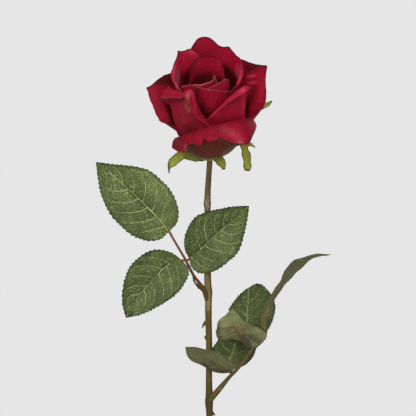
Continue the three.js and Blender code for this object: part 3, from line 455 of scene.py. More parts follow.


# Foot and base: radius and height where the ribs start. Ribs leave at the start angle and reach the rim
# at the lean angle, both from the bloom's axis, then the roll turns on outwards by the turn angle.
# Push and pull: strength of the two ends of a rib, in chords. Outer and shade: how far below the crest
# the outer and the inner face start and end to darken with painted shade, from the petal's base level of
# painted shade, which below 0 is painted light.
# Rim: column, row, depth across the axis, length of the roll beyond the crest, and how far it sinks.
# Soft spots: column, row, width, height and amount; above 0 painted shade, below 0 painted highlight
# and wear, with a few dark marks. Lines: points, width and amount of strokes of wear with painted sheen,
# and of moss on the bowl.
petals = dict(
    hood=dict(foot=3, base=2, start=30, push=0.7, pull=0.7, lean=-12, turn=60, outer=(8, 17), paintedShadeLevel=-0.06,
        shadeLightAndWear=[[197, 64, 6, 8, -0.15], [219, 62, 2.5, 8, -0.15], [217, 76, 5, 4, -0.2]],
        rim=[[226, 96, -6, 0.5], [225.5, 84, -3, 0.5], [223.8, 73, 2, 0.6], [222.3, 63.5, 6, 0.8],
            [218, 57.5, 9, 0.8], [211, 54.8, 11, 0.8], [204, 55, 11, 0.8], [197.5, 57.8, 10, 0.8],
            [192.5, 63.8, 7, 0.8], [190, 73, 3, 0.6], [189.5, 84, -3, 0.5], [190, 96, -6, 0.5]]),
    point=dict(border="wearAndSheen", foot=2, base=2, start=20, push=0.6, pull=0.6, lean=0, turn=40, ragged=0.15,
        rim=[[192, 92, -4, 0], [193, 84.5, -6, 0], [201, 84.3, -9, 0], [208, 82.3, -9, 0],
            [212.8, 80, -8.3, 0], [214.5, 75.3, -7.5, 0], [216, 80, -7.2, 0], [217.5, 83, -6.5, 0],
            [221, 84, -4.5, 0], [223, 90, -3, 0]]),
    heartRight=dict(border="wearAndSheen", foot=3, base=2, start=30, push=0.7, pull=0.7, lean=2, turn=60, paintedShadeLevel=-0.16,
        shadeLightAndWear=[[222, 85, 3, 4, -0.1]],
        rim=[[200, 98, -12.5, 0], [206, 90, -13.5, 0.5], [215.5, 85.3, -12.5, 1], [221, 82, -10.5, 1],
            [225.8, 79, -7.5, 0.8], [228.3, 79.8, -4.5, 0.6], [228.8, 84, 0, 0.5], [226, 90, 6, 0]]),
    heartFront=dict(border="wearAndSheen", foot=4, base=2, start=40, push=0.9, pull=0.8, lean=2, turn=70, paintedShadeLevel=0.1,
        outer=(11, 24),
        shadeLightAndWear=[[226, 95, 5, 4, 0.3], [197.5, 96, 2.5, 9, 0.6], [202, 109, 4, 8, 0.6]],
        rim=[[181, 96, -2, 0], [181.5, 87.5, -7, 0.3], [184, 85.6, -10, 0.5], [191, 84.5, -12.5, 1],
            [198, 86.8, -15.5, 1.2], [207, 89.6, -17, 1.2], [216, 91, -16.8, 1.2], [225, 91.8, -14.5, 1.2],
            [231.5, 92.5, -10, 1], [233, 100, -4, 0]]),
    tallBack=dict(foot=6, base=1, start=55, push=1, pull=0.8, lean=12, turn=100, ragged=0.5, paintedShadeLevel=0.12,
        shade=(11, 18),
        shadeLightAndWear=[[193, 47, 3, 6, 0.35], [237.5, 77, 3.5, 10, -0.9], [233, 52, 6, 4, -0.12]],
        rim=[[228, 104, -17, 0], [229.5, 92.5, -14.5, 1], [233.5, 87.8, -12, 2.5], [237, 82.5, -8, 4],
            [239.6, 76, -2, 4.5], [240.6, 70, 3, 4], [241, 64, 8, 2.5], [239.5, 58.5, 13, 1],
            [235.5, 54.5, 16, 0.8], [231.5, 49.5, 18, 0.8], [228, 46, 19, 0.8], [223, 46.6, 19.6, 0.8],
            [218, 45, 20, 0.8], [213, 40, 20, 0.8], [208.5, 37.2, 20, 0.8], [203.5, 36.6, 20, 0.8],
            [198.5, 38, 20, 0.8], [194.5, 43, 20, 0.8], [190.5, 48.5, 20, 0.5], [184, 58, 20, 0],
            [180, 75, 18, 0]]),
    leftBack=dict(foot=6, base=1, start=55, push=1, pull=0.8, lean=8, turn=110, ragged=0.6, shade=(12, 19),
        paintedShadeLevel=-0.16,
        shadeLightAndWear=[[193, 52.5, 7, 3, -0.7], [182, 60, 5, 8, -0.1], [174, 74, 2.5, 9, -0.2],
            [178.5, 82, 2.8, 9, -1.1]],
        rim=[[212, 70, 16, 0], [206, 57, 16.5, 0.3], [199, 53.5, 17, 0.6], [190.5, 48.8, 16.5, 0.8],
            [185, 50.5, 14.5, 0.8], [181, 51.3, 12.5, 0.8], [178.6, 51, 10.5, 0.8], [178.3, 56, 8.5, 1.2],
            [176.6, 61.5, 5.5, 1.8], [175.4, 67.5, 2, 3], [174.6, 73.5, -1.5, 4], [175.4, 79, -5, 4],
            [178.4, 86, -9.5, 3.5], [182.6, 92.5, -13, 2], [188, 100, -17, 0]]),
    frontRight=dict(foot=8, base=0, start=75, push=1.2, pull=0.8, lean=6, turn=120, ease=0.8, paintedShadeLevel=-0.09,
        border="soft",
        shadeLightAndWear=[[242, 94.5, 4, 3.5, -0.42], [213, 116, 5, 3, -0.2], [248, 91, 3, 4, 0.75],
            [217, 124, 14, 3, 0.5], [242, 108, 2, 10, -0.15]],
        rim=[[197, 136, -23, 0], [200, 126, -23.4, 0.5], [206.5, 119.5, -23.2, 2.5], [217, 109, -22.2, 4.2],
            [226, 100, -20.5, 5.5], [233, 93.6, -18.3, 7.5], [238.5, 89, -16, 9], [242.5, 86.4, -13.8, 7.8],
            [246, 86.6, -12.2, 4.8], [246.8, 91, -11.7, 3], [244.6, 97, -12, 1.2], [243.8, 107, -12.5, 0],
            [245.5, 119, -12, 0], [246, 130, -12, 0]]),
    frontLeft=dict(foot=8, base=0, start=68, push=1.1, pull=0.8, lean=8, turn=150, ease=0.5,
        lines=[([[182, 103], [183, 120]], 4, 0.06), ([[190, 112], [194, 128]], 2.5, 0.05), ([[192.5, 91],
            [188.5, 95.5], [186, 100], [186.5, 105.5], [189, 110]], 2.6, 0.5), ([[161.5, 97], [167, 99.3],
            [171, 97.8]], 0.9, 0.4)], border="soft", paintedShadeLevel=0.2,
        shadeLightAndWear=[[190, 92, 3, 4, -0.5], [193.5, 100, 1.5, 6, -0.6], [195.5, 110, 1.8, 8, -0.5],
            [190, 130, 12, 6, 0.4], [167, 93, 7, 4, 0.15], [198, 99, 1.8, 9, 0.5],
            [201.5, 110, 1.8, 6, 0.35]],
        rim=[[189, 142, -17, 0], [184, 132, -16.5, 0], [177, 119, -12.5, 0.5], [172, 104, -10, 2],
            [169, 87.4, -10.5, 8.5, 4.5], [173.5, 88.8, -13.5, 8.5, 2.5], [179, 91.5, -17, 6.5, 1],
            [184.5, 93, -20, 6.5], [190.3, 89.8, -22.2, 8.5], [194, 94.5, -22.8, 10],
            [197, 103.5, -23.5, 9.5], [201, 112.3, -24.3, 7.5], [206.5, 120, -25, 4],
            [214, 132, -25.5, 0.5]]),
    wingLeft=dict(foot=9, base=-1, start=18, push=0.6, pull=0.7, lean=62, turn=50, ragged=1.0,
        shade=(13, 25),
        lines=[([[153, 93], [159, 108], [165, 121]], 5, 0.08)], paintedShadeLevel=0.22,
        shadeLightAndWear=[[163, 81, 12, 6, 1.1], [163, 113, 3, 9, -0.3], [153, 90, 4, 5, -0.15],
            [166, 103, 2, 10, 0.4], [173, 124, 5, 3, 0.4]],
        rim=[[188, 82, 22, 0], [184, 69, 22, 0.8], [173, 72, 15, 1], [165, 75.8, 10.5, 1],
            [158, 80, 6.5, 1], [152.5, 85.3, 3.5, 0.8], [149.5, 87.4, 2, 0.6], [146.8, 88.6, 0.8, 0.4],
            [148.6, 92, 0, 0.6], [150.2, 98, -1.2, 1], [154, 106, -3.2, 1.2], [157.5, 115, -5, 1.2],
            [161, 121.5, -6.8, 1], [165.5, 124, -8.8, 1], [171.5, 125.2, -11, 0.8],
            [175.5, 128.5, -12.5, 0.6], [179, 135, -14, 0.5], [186, 144, -17, 0]]),
    wingRight=dict(foot=9, base=-1, start=60, push=0.6, pull=0.75, lean=30, turn=50, ragged=0.5,
        shade=(23, 33),
        shadeLightAndWear=[[252, 69, 12, 6, 0.8], [250.5, 78, 4, 1.7, -0.95], [251, 84.5, 4.5, 1.5, -0.95],
            [249, 98, 4, 14, 0.4], [260, 95, 4, 18, -0.1]],
        rim=[[247, 130, -13, 0], [250, 118, -9, 0], [254.5, 115, -6.8, 0.8], [259, 110.5, -4.6, 0.8],
            [263, 107, -2.8, 0.8], [265.3, 101, -1.4, 0.8], [265.8, 93, -0.5, 1], [265.2, 84, 0.8, 1],
            [265.4, 76, 2.5, 1], [266.2, 70, 4, 0.8], [267, 66.6, 5.2, 0.5], [263.5, 65.6, 7, 0.6],
            [258, 65.2, 9.5, 1], [250, 62.8, 13.5, 1], [240, 59.5, 19, 0.8], [228, 62, 25, 0.5],
            [222, 76, 26, 0]]),
    lip=dict(foot=9, base=-1, start=78, push=1.4, pull=0.9, lean=30, turn=135, ease=0.4, ragged=0.5,
        border="soft", paintedShadeLevel=0.34,
        shadeLightAndWear=[[178, 143, 7, 9, 0.25], [236, 142, 6, 2, -0.35], [236, 137, 8, 4.5, -0.36],
            [200, 142, 4, 3, -0.3], [208, 140, 3, 2, -0.3], [214, 137, 7, 4, 0.08], [251, 128, 4, 8, -0.3],
            [218.3, 133.5, 0.9, 1.7, 0.55], [221.6, 132.3, 0.9, 2.2, 0.55], [220, 130, 0.8, 3, -0.35]],
        lines=[([[240, 143], [233, 149], [225, 154]], 2.6, 0.9), ([[186, 147], [188, 152], [194, 156]], 2.2,
            0.35), ([[216, 139], [222, 140.5], [231, 146]], 1.3, 0.3), ([[225, 130], [233, 134],
            [240, 140]], 4, 0.2), ([[176, 141], [181, 147]], 5, 0.08)],
        rim=[[176.5, 137.5, -11, 5], [179.5, 136.5, -14.5, 10], [182.8, 135.4, -17.5, 12.8],
            [186, 134.2, -19.3, 15], [189, 132.9, -20.8, 16.2], [191.1, 132.2, -21.5, 17],
            [192.4, 131.7, -22, 10.6], [195.5, 130.6, -23.1, 10.8], [199, 129.4, -24, 12.8],
            [202.4, 128.3, -24.7, 13.5], [204.6, 127.6, -25, 9.5], [207.5, 126.8, -25.3, 12.2],
            [211, 126, -25.5, 12.6], [215, 125.3, -25.4, 11.3], [217.6, 124.7, -25.2, 10.8],
            [222.5, 123.6, -24.7, 14.5], [228, 122.4, -23.7, 18], [235, 121, -21.8, 20.5],
            [240.5, 119.9, -18.7, 16], [244.5, 119.1, -15.2, 12.2], [247, 118.5, -12, 10],
            [249, 117.9, -8.5, 8], [250, 119, -3, 3]]),
    backLeft=dict(foot=8, base=-1, start=85, push=1.35, pull=0.8, lean=45, turn=90, ragged=0.6,
        rim=[[222, 110, 24, 0], [224, 90, 28, 1], [220, 72, 31, 6], [210, 66, 33, 8], [198, 68, 31, 8],
            [188, 76, 26, 6], [180, 90, 20, 2], [180, 108, 14, 0]]),
    backRight=dict(foot=8, base=-1, start=85, push=1.35, pull=0.8, lean=45, turn=90, ragged=0.6,
        rim=[[250, 108, 6, 0], [254, 90, 12, 1], [250, 76, 19, 6], [240, 70, 26, 8], [228, 72, 30, 8],
            [218, 82, 31, 6], [212, 96, 28, 2], [212, 110, 22, 0]]),
)
petalMesh = dict(
    columns=161, rows=52, rollRows=20, rollSteps=64, partSteps=16, footSpread=0.6, rimSpread=6,
    thickness=0.45, rimThickness=0.2, ragged=0.3, swell=0.35, ribCount=34, ribDepth=0.015,
    ripples=34, rippleDepth=0.5, tears=60, tearDepth=0.45, outer=(60, 80), shade=(7, 17))


def petalRim(petal, across):
    # the rim from the bloom's own axis: the height at which the sight line of the row passes the depth
    given = np.array([row + [0] * (5 - len(row)) for row in petal["rim"]], float)
    y, step, distance = given[:, 2], grid["step"], grid["eyeDistance"]
    above = (grid["eyeRow"] - given[:, 1]) * step
    z = above * (1 + y * tiltCos / distance) - (grid["eyeRow"] - bloom["row"]) * step - y * tiltSin
    z = z / (tiltCos + above * tiltSin / distance)
    far = 1 + (y * tiltCos - z * tiltSin) / distance
    x = ((given[:, 0] - grid["eyeColumn"]) * far - bloom["column"] + grid["eyeColumn"]) * step
    line = byLength(np.stack([x, y, z, given[:, 3], given[:, 4]], -1), across)
    return line[:, :3], np.maximum(line[:, 3:4], 0.1), line[:, 4:]


def petalSurface(petal, seed):
    # rib(v) = (2v^3 - 3v^2 + 1) foot + (v^3 - 2v^2 + v) leave + (3v^2 - 2v^3) rim + (v^3 - v^2) arrive,
    # then an arc whose angle grows as turn part^ease over the roll's length
    startAngle, leanAngle, turn = (radians(petal[key]) for key in ("start", "lean", "turn"))
    look, power, ragged = petalMesh, petal.get("ease", 1.0), petal.get("ragged", petalMesh["ragged"])
    rows, rollSteps, inner = look["rows"], look["rollSteps"], look["partSteps"]
    across = np.linspace(0, 1, look["columns"])
    rim, roll, sink = petalRim(petal, across)
    middle = rim.mean(0)
    azimuth = np.arctan2(middle[1], middle[0])
    around = np.angle(np.exp(1j * (np.arctan2(rim[:, 1], rim[:, 0]) - azimuth)))
    phi = azimuth + around * look["footSpread"]
    atFoot = np.stack([np.cos(phi), np.sin(phi), 0 * phi], -1)
    atRim = unit(rim * [1, 1, 0] + look["rimSpread"] * np.array([cos(azimuth), sin(azimuth), 0]))
    up = np.array([0, 0, 1.0])
    start = atFoot * petal["foot"] + up * petal["base"]
    chord = np.linalg.norm(rim - start, axis=1, keepdims=True)
    leave = (atFoot * sin(startAngle) + up * cos(startAngle)) * chord * petal["push"]
    end = atRim * sin(leanAngle) + up * cos(leanAngle)
    outside = atRim * cos(leanAngle) - up * sin(leanAngle)
    # the crest of the roll lies on the rim line, so the roll starts a little below it
    angle = leanAngle + turn * (np.linspace(0, 1, rollSteps + 1)[1:] ** power)
    climb = np.cos(angle) * tiltCos + np.sin(angle) * tiltSin * atRim[:, 1:2]
    crest = np.maximum(np.cumsum(climb, 1).max(1, keepdims=True) * roll / rollSteps, 0)
    rate = cos(leanAngle) * tiltCos + sin(leanAngle) * tiltSin * atRim[:, 1:2]
    rim = rim - end * crest / np.maximum(rate, 0.3)
    v = np.linspace(0, 1, rows)[:, None, None]
    blade = (2 * v**3 - 3 * v**2 + 1) * start + (v**3 - 2 * v**2 + v) * leave
    blade = blade + (3 * v**2 - 2 * v**3) * rim + (v**3 - v**2) * end * chord * petal["pull"]
    part = np.linspace(0, 1, look["rollRows"] + 1)[1:, None, None]
    angle = turn * (part * ((np.arange(inner) + 0.5) / inner)) ** power
    ahead = np.cos(angle).mean(-1, keepdims=True) * part * roll
    aside = np.sin(angle).mean(-1, keepdims=True) * part * roll
    surface = np.concatenate([blade, rim + end * ahead + outside * aside - up * sink * part**1.5])
    # reach by length, from 0 at the foot to 1 at the free edge
    steps = np.linalg.norm(np.diff(surface, axis=0), axis=-1)
    reach = np.concatenate([np.zeros((1, len(across))), np.cumsum(steps, 0)])
    size = reach[-1].max()
    reach = reach / reach[-1]
    side = np.broadcast_to(across, reach.shape)
    # soft hollows between the ribs, fine ribs, and a rippled, slightly torn rim
    n = normals(surface)
    swell = look["swell"] * wander(seed, side * 9, reach * 4) * ease(reach, 0.25, 0.8)
    ribs = np.sin(side * fullTurn * look["ribCount"] + 2 * wander(seed + 1, side * 6, reach * 3))
    ribs = look["ribDepth"] * ribs * ease(reach, 0.15, 0.5)
    ripple = wander(seed + 2, side * look["ripples"], reach * 1.5) * ease(reach, 0.8, 1.0) * ragged
    surface = surface + n * (swell + ribs + look["rippleDepth"] * ripple)[..., None]
    torn = look["tearDepth"] * np.abs(wander(seed + 3, side * look["tears"])) * ragged
    tip = ease(np.linspace(0, 1, len(surface)), 0.85, 1.0)[:, None]
    surface[1:] = surface[1:] - unit(np.diff(surface, axis=0)) * (torn * tip)[1:, :, None]
    surface = lean(surface)
    # tone of each face: 1 is painted shade and -1 wear with painted sheen. The painted shade deepens away
    # from the crest, with soft spots of painted shade, painted highlight and wear,
    # amount exp(-((column - c) / wide)^2 - ((row - r) / high)^2) over the front view
    column = surface[..., 0] / grid["step"] + grid["centre"]
    row = grid["floor"] - (surface[..., 2] - grid["floorHeight"]) / grid["step"]
    tone = 0 * reach + petal.get("paintedShadeLevel", 0.0)
    for c, r, wide, high, amount in petal.get("shadeLightAndWear", ()):
        tone = tone + amount * np.exp(-((column - c) / wide) ** 2 - ((row - r) / high) ** 2)
    away = (reach[rows - 1] - reach) * size
    shadeLightAndWear = [tone + ease(away, *petal.get(key, look[key])) for key in ("outer", "shade")]
    return surface, side * 2 - 1, reach, np.concatenate([one.ravel() for one in shadeLightAndWear])


# radius and height from the bloom's base
core = dict(rings=40, sides=64, profile=[
    [7.5, bloom["hipTop"] + 0.3], [9, -1], [10.2, 3], [10.2, 8], [8.5, 14], [5, 18.5], [1, 20]])


def buildBloom(materials):
    rimThinner = petalMesh["rimThickness"] - petalMesh["thickness"]
    for seed, (name, petal) in enumerate(petals.items()):
        surface, across, reach, tone = petalSurface(petal, 11 * seed + 5)
        thickness = petalMesh["thickness"] + rimThinner * ease(reach, 0.6, 1.0)
        shell = sheetShell(surface, thickness, across, reach, over=1.0, under=0.0)
        shell["phase"] = tone
        shell["drawn"] = strokes(shell["points"], petal.get("lines", ()))
        makePiece("petal_" + name, [shell], materials[petal.get("border", "dry")], "bloom")
    heart = lean(turned(through(core["profile"], np.linspace(0, 1, core["rings"])), core["sides"]))
    makePiece("bloom_heart", [tubeShell(heart)], materials["dry"], "bloom")


leafLook = dict(
    dark=colour(0.014, 0.030, 0.005), mid=colour(0.038, 0.066, 0.013), pale=colour(0.47, 0.49, 0.19),
    net=colour(0.26, 0.31, 0.105), under=colour(0.33, 0.37, 0.155), underDark=colour(0.19, 0.20, 0.085),
    umber=colour(0.051, 0.052, 0.028), rust=colour(0.28, 0.110, 0.040), border=colour(0.020, 0.028, 0.008))


def leafMaterial():
    skin = Finish("leafBlade", 55.0, 900.0, {"Specular IOR Level": 0.2})
    face, cloud, grain = skin.face, skin.cloud, skin.grain
    veins = skin.use(vein, Phase=skin.told("phase"), Cell=620.0)
    drawn = skin.told("drawn") * grain.step(0.2, 0.8, 0.7, 1.0)
    margin = skin.use(dryBorder, Width=0.11)["Mask"]
    # the upper face counts below 0, by how much painted shade darkens it, over a whole leaflet or along its
    # stains
    top = coats(
        leafLook, leafLook["dark"], (cloud, "mid"), (grain * 0.4, "mid"),
        (veins["Net"] * cloud.step(0.0, 1.0, 0.35, 0.8), "net"), (veins["Fine"] * 0.15, "net"),
        # painted shade: a dark band beside the midrib, stronger on its left half, as the groove's shadow
        (veins["Beside"] * skin.across.step(-0.01, 0.01, 1.0, 0.4), "dark"),
        ((face * -1.0 | 0.0) + margin * 0.5, "dark"), (veins["Side"] * 0.8, "pale"),
        (veins["Midrib"] | drawn, "pale"))
    # undersides count from 1, and what is above 1 is how far they are browned, partly their own brown and
    # partly painted shade
    rusty = veins["Side"] * grain.step(0.2, 0.8, 0.35, 0.9) | veins["Beside"] * 0.95
    rusty = rusty * skin.reach.step(0.75, 0.93, 1.0, 0.0)
    low = coats(
        leafLook, leafLook["underDark"], (cloud, "under"), (veins["Net"] * 0.35, "underDark"),
        (rusty | margin * 0.35, "rust"), (drawn, "rust"),
        ((face - 1.0 | 0.0) * grain.step(0.0, 1.0, 0.85, 1.0), "umber"))
    face = calc(skin.tree, "ADD", face, 0.0, clamp=True)
    tint = coats(leafLook, top, (face, low), (skin.use(dryBorder, Width=0.028)["Mask"] * 0.75, "border"))
    sunk = veins["Side"] * 0.8 + veins["Net"] * 0.5 + veins["Fine"] * 0.15
    rough = grain.step(0.0, 1.0, 0.42, 0.56) + face * 0.22
    return skin.done(tint, rough, sunk * (face * 2.0 - 1.0), 0.0003)


# Root on the leaf's stalk, then midrib, left edge and right edge from base to tip. Depths of the edges
# are counted from the midrib. Under: the face that looks to the front is the underside. Lines are veins,
# with one broad pale stroke of painted light on the end leaflet; stains are browned places and painted
# shade, as points, width and amount. Dark is painted shade over a leaflet's upper face; brown darkens an
# underside, partly its own brown and partly painted shade.
upperLeaflets = dict(
    end=dict(root=[172, 236, -14.8],
        # the broad third line is painted light on the leaflet's right, and the stain painted shade along
        # its left
        lines=[([[168, 230.5], [162, 223], [153, 213], [148, 208]], 0.7, 0.6), ([[124, 185.5], [115, 177.5],
            [109, 172.3]], 0.7, 0.5), ([[150, 184], [162, 198], [170, 214]], 10, 0.09)],
        stainsAndShade=[([[103, 172], [108, 195], [122, 215], [140, 230]], 8, 0.3)],
        mid=[[169, 231.5, -15], [162, 223, -17], [153, 213, -18.5], [143, 203, -19.5], [134, 194.5, -20],
            [124, 185.5, -20.5], [115, 177.5, -21], [106, 169.5, -21.5], [96, 162, -22]],
        left=[[169, 231.5], [160, 238.5], [147, 240], [133, 235], [121, 225], [111, 213.5], [103, 198],
            [99, 180], [96, 162]],
        right=[[169, 231.5], [176.5, 222], [177.5, 209], [171, 193], [160, 180.5], [147, 170.5], [130, 166],
            [112, 164.5], [96, 162]]),
    right=dict(root=[186, 261, -12], dark=0.3,
        mid=[[189.5, 259, -13], [200, 250, -14.5], [210, 240, -15.5], [220, 231, -16], [230, 223, -16],
            [240, 214, -15.5], [249, 206, -14]],
        left=[[189.5, 259], [185.5, 250], [185, 240], [189, 227], [197, 217], [208, 212], [221, 209],
            [235, 207], [249, 206]],
        right=[[189.5, 259], [191.5, 266], [199, 272], [209, 272], [218, 268.5], [228, 260.5], [237, 252],
            [243, 237], [246.5, 222], [249, 206]]),
    left=dict(root=[186, 260.5, -12], dark=0.25,
        mid=[[181.5, 260.5, -13], [172, 263, -15], [163, 269, -17], [154, 279, -18], [145, 289, -18],
            [136, 300, -17], [126, 318, -15]],
        left=[[181.5, 260.5], [187.5, 268], [187, 277], [180, 289], [169, 298.5], [157, 306], [142, 313.5],
            [126, 318]],
        right=[[181.5, 260.5], [175, 255.5], [163, 251], [151, 251.5], [140, 257.5], [130, 268],
            [124.5, 284], [123, 302], [126, 318]]),
)
lowerLeaflets = dict(
    nearLow=dict(root=[233, 373.5, -4], under=True, sag=0, brown=0.52,
        lines=[([[228, 371], [221, 367], [212, 361], [203, 355], [196, 351.5]], 1.1, 0.65), ([[215, 361],
            [225, 363.5]], 0.8, 0.2)],
        stainsAndShade=[([[230, 372], [212, 370], [204, 364]], 3, 0.45), ([[224, 369], [212, 361.5]], 1.6, 0.35)],
        mid=[[231, 372.5, -5], [222, 368.5, -12], [212, 362, -19], [203, 356, -27], [194, 350.5, -33],
            [185.5, 347, -38]],
        left=[[231, 372.5], [222, 373], [212, 371], [205, 367], [199, 364], [193, 361.5], [189, 357.5],
            [186.5, 352], [185.5, 347]],
        right=[[231, 372.5], [234.5, 367.5], [229, 361.5], [221, 355.5], [212, 350.7], [203, 349.5],
            [194, 347.7], [185.5, 347]],
        leftDepth=[0, 6, 8, 7, 0], rightDepth=[0, -7, -12, -9, 0]),
    nearHigh=dict(root=[252, 350.5, -4], under=True, sag=0, brown=0.1,
        lines=[([[250, 349], [246.5, 342.5], [240.5, 338.5], [238.6, 331.8], [236, 328], [233, 325.5]], 0.9,
            0.75), ([[233, 325.5], [230.3, 327.3]], 1.1, 0.5), ([[238.6, 331.8], [241.5, 329.3],
            [247, 328.6]], 0.7, 0.75), ([[240.5, 338.5], [234, 337.2], [224.5, 337.6]], 0.7, 0.75),
            ([[219.5, 322], [217.5, 330], [219.8, 338]], 2.2, 0.4), ([[228, 331], [226.5, 337]], 1.6, 0.2),
            ([[256, 326.5], [262, 331.5]], 1.3, 0.25)],
        stainsAndShade=[([[244, 337], [247.5, 343], [251, 349]], 4, 0.85), ([[250, 337], [259, 341]], 4, 0.75),
            ([[217, 326], [219, 337]], 3.5, 0.6), ([[224, 330], [234, 334]], 4, 0.25)],
        mid=[[250.5, 349, -5], [246.5, 344, -12], [242.5, 338, -19], [239, 332, -27], [235, 327.5, -33],
            [229, 325.5, -39], [217, 328, -44]],
        left=[[250.5, 349], [245, 345], [240, 340.5], [232, 338.5], [225, 339], [219.5, 339], [216.8, 334],
            [217, 328]],
        right=[[250.5, 349], [258, 345], [263.5, 340], [265.5, 333.5], [258, 328.5], [250, 324.5],
            [243, 320.5], [237.5, 314], [232, 310], [225, 316.5], [219, 321.5], [217, 328]],
        leftDepth=[0, 6, 8, 6, 0], rightDepth=[0, 2, -8, -12, 0]),
    farLow=dict(root=[237, 369.5, -3], dark=0.4,
        lines=[([[228.3, 361.5], [231.4, 355.5], [233.4, 350], [235, 343.5]], 0.7, 0.5), ([[222.3, 342],
            [224.5, 348], [228.5, 351.5]], 0.6, 0.22), ([[231.4, 355.5], [237, 350.5]], 0.6, 0.12),
            ([[229.8, 358.5], [236, 356], [242, 351]], 0.6, 0.12)],
        mid=[[236, 368.5, -1], [231, 362, 3], [231.5, 354, 9], [234.5, 346, 17], [237, 336, 25],
            [240, 326, 33], [243, 317, 39]],
        left=[[236, 368.5], [224, 365], [214, 358], [212.5, 350], [216, 344], [222, 336], [230, 327],
            [243, 317]],
        right=[[236, 368.5], [243, 365.5], [250, 360], [254, 353], [256, 345], [255, 334], [250, 323],
            [243, 317]],
        leftDepth=[0, -2, -3, -2, 0], rightDepth=[0, 4, 3, 2, 0]),
    farHigh=dict(root=[263, 341, -3], dark=0.28,
        lines=[([[247.2, 321.5], [246.6, 313], [247.7, 306], [248.2, 298], [248.3, 288.5]], 0.7, 0.45),
            ([[247.8, 305], [252, 300], [257.5, 296]], 0.6, 0.12), ([[247.2, 311], [253, 304],
            [259.5, 300]], 0.6, 0.12), ([[247.2, 317], [255, 309], [263, 303.5]], 0.6, 0.14),
            ([[250, 321.5], [257, 315], [263, 309.5]], 0.6, 0.12), ([[247.6, 306.5], [243, 305],
            [238.5, 305]], 0.6, 0.12), ([[246.8, 316], [241.5, 311.5], [235.5, 310]], 0.6, 0.14),
            ([[248.2, 298.5], [244, 296.5], [241, 296.5]], 0.6, 0.1)],
        mid=[[261, 339.5, -1], [252, 333, 5], [247.5, 323, 12], [247, 312, 18], [248.3, 302, 24],
            [249.8, 292.5, 29], [256.5, 283.5, 33]],
        left=[[261, 339.5], [247, 338], [237, 330], [230.5, 320], [230, 310], [233.5, 303], [239, 296],
            [245.5, 290], [251.5, 286], [256.5, 283.5]],
        right=[[261, 339.5], [268, 328], [272, 319.5], [274.5, 310], [273.5, 301.5], [270.5, 295],
            [266, 289.5], [261, 285], [256.5, 283.5]],
        leftDepth=[0, -2, -3, -2, 0], rightDepth=[0, 5, 3, 2, 0]),
    end=dict(root=[266, 334, -4], under=True, sag=0, brown=0.55,
        lines=[([[262.5, 312], [261.8, 320], [263, 327]], 1.8, 0.35), ([[266.3, 328], [267, 317],
            [268.7, 306]], 1.2, 0.25)],
        stainsAndShade=[([[266.5, 329], [266.5, 318]], 1.8, 0.35)],
        mid=[[266, 331, -4], [265.8, 320, -5], [268.3, 307, -6], [272, 297.5, -6], [279, 286.5, -5],
            [285.5, 276.5, -5], [294, 267, -5], [303, 260.5, -5], [316, 255.3, -5], [331, 254.5, -5]],
        left=[[266, 331], [261.8, 326], [260.5, 318], [262.5, 310], [266, 303], [270.5, 297], [276, 288],
            [281, 281], [284, 273], [287, 268], [291, 263.5], [296, 260], [303, 258], [310, 255.8],
            [318, 254.3], [331, 254.5]],
        right=[[266, 331], [267.5, 322], [270.5, 312], [271.8, 304], [274, 299], [280, 290.5],
            [284.5, 284.5], [290.5, 278], [297, 271], [304, 264.5], [310, 259.5], [316, 256.8],
            [331, 254.5]],
        leftDepth=[0, -8, -10, -12, -12, -8, 0], rightDepth=[0, 8, 10, 12, 12, 8, 0]),
)
leafMesh = dict(rows=280, columns=61, thickness=0.4, midribThickness=0.7, teeth=26, toothDepth=1.35,
                sag=0.8, grow=0.2, quilt=0.6, groove=0.8, swell=0.45, sideVeins=7.5, slant=0.28,
                depths=[0, -4, -5, -4, 0])


def leafletEdge(leaflet, key, sign, t, mid, seed):
    # mid + (edge - mid) a for a to 1, with the edge moved out by a saw of teeth and sagging as 4a (1 - a)
    look = leafMesh
    edge = byLength(flat(leaflet[key]), t)
    edge[:, 1] = mid[:, 1] + through(leaflet.get(key + "Depth", look["depths"]), t)[:, 0]
    away = seen(edge) - mid
    wide = np.linalg.norm(away, axis=1, keepdims=True)
    saw = np.mod(t * look["teeth"] + 0.35 * wander(seed + sign, t * 14), 1)
    tooth = saw**0.8 * (1 - ease(saw, 0.82, 1.0)) * (0.75 + 0.35 * wander(seed + 3 * sign, t * 40))
    out = (look["grow"] + look["toothDepth"] * tooth[:, None]) * np.minimum(1, wide / 6)
    half = look["columns"] // 2
    a = (np.arange(half) + 1)[None, :, None] / half
    spots = mid[:, None] + unit(away)[:, None] * np.maximum(wide + out, 0.15)[:, None] * a
    spots[..., 1] += leaflet.get("sag", look["sag"]) * 4 * (a * (1 - a))[..., 0]
    return spots


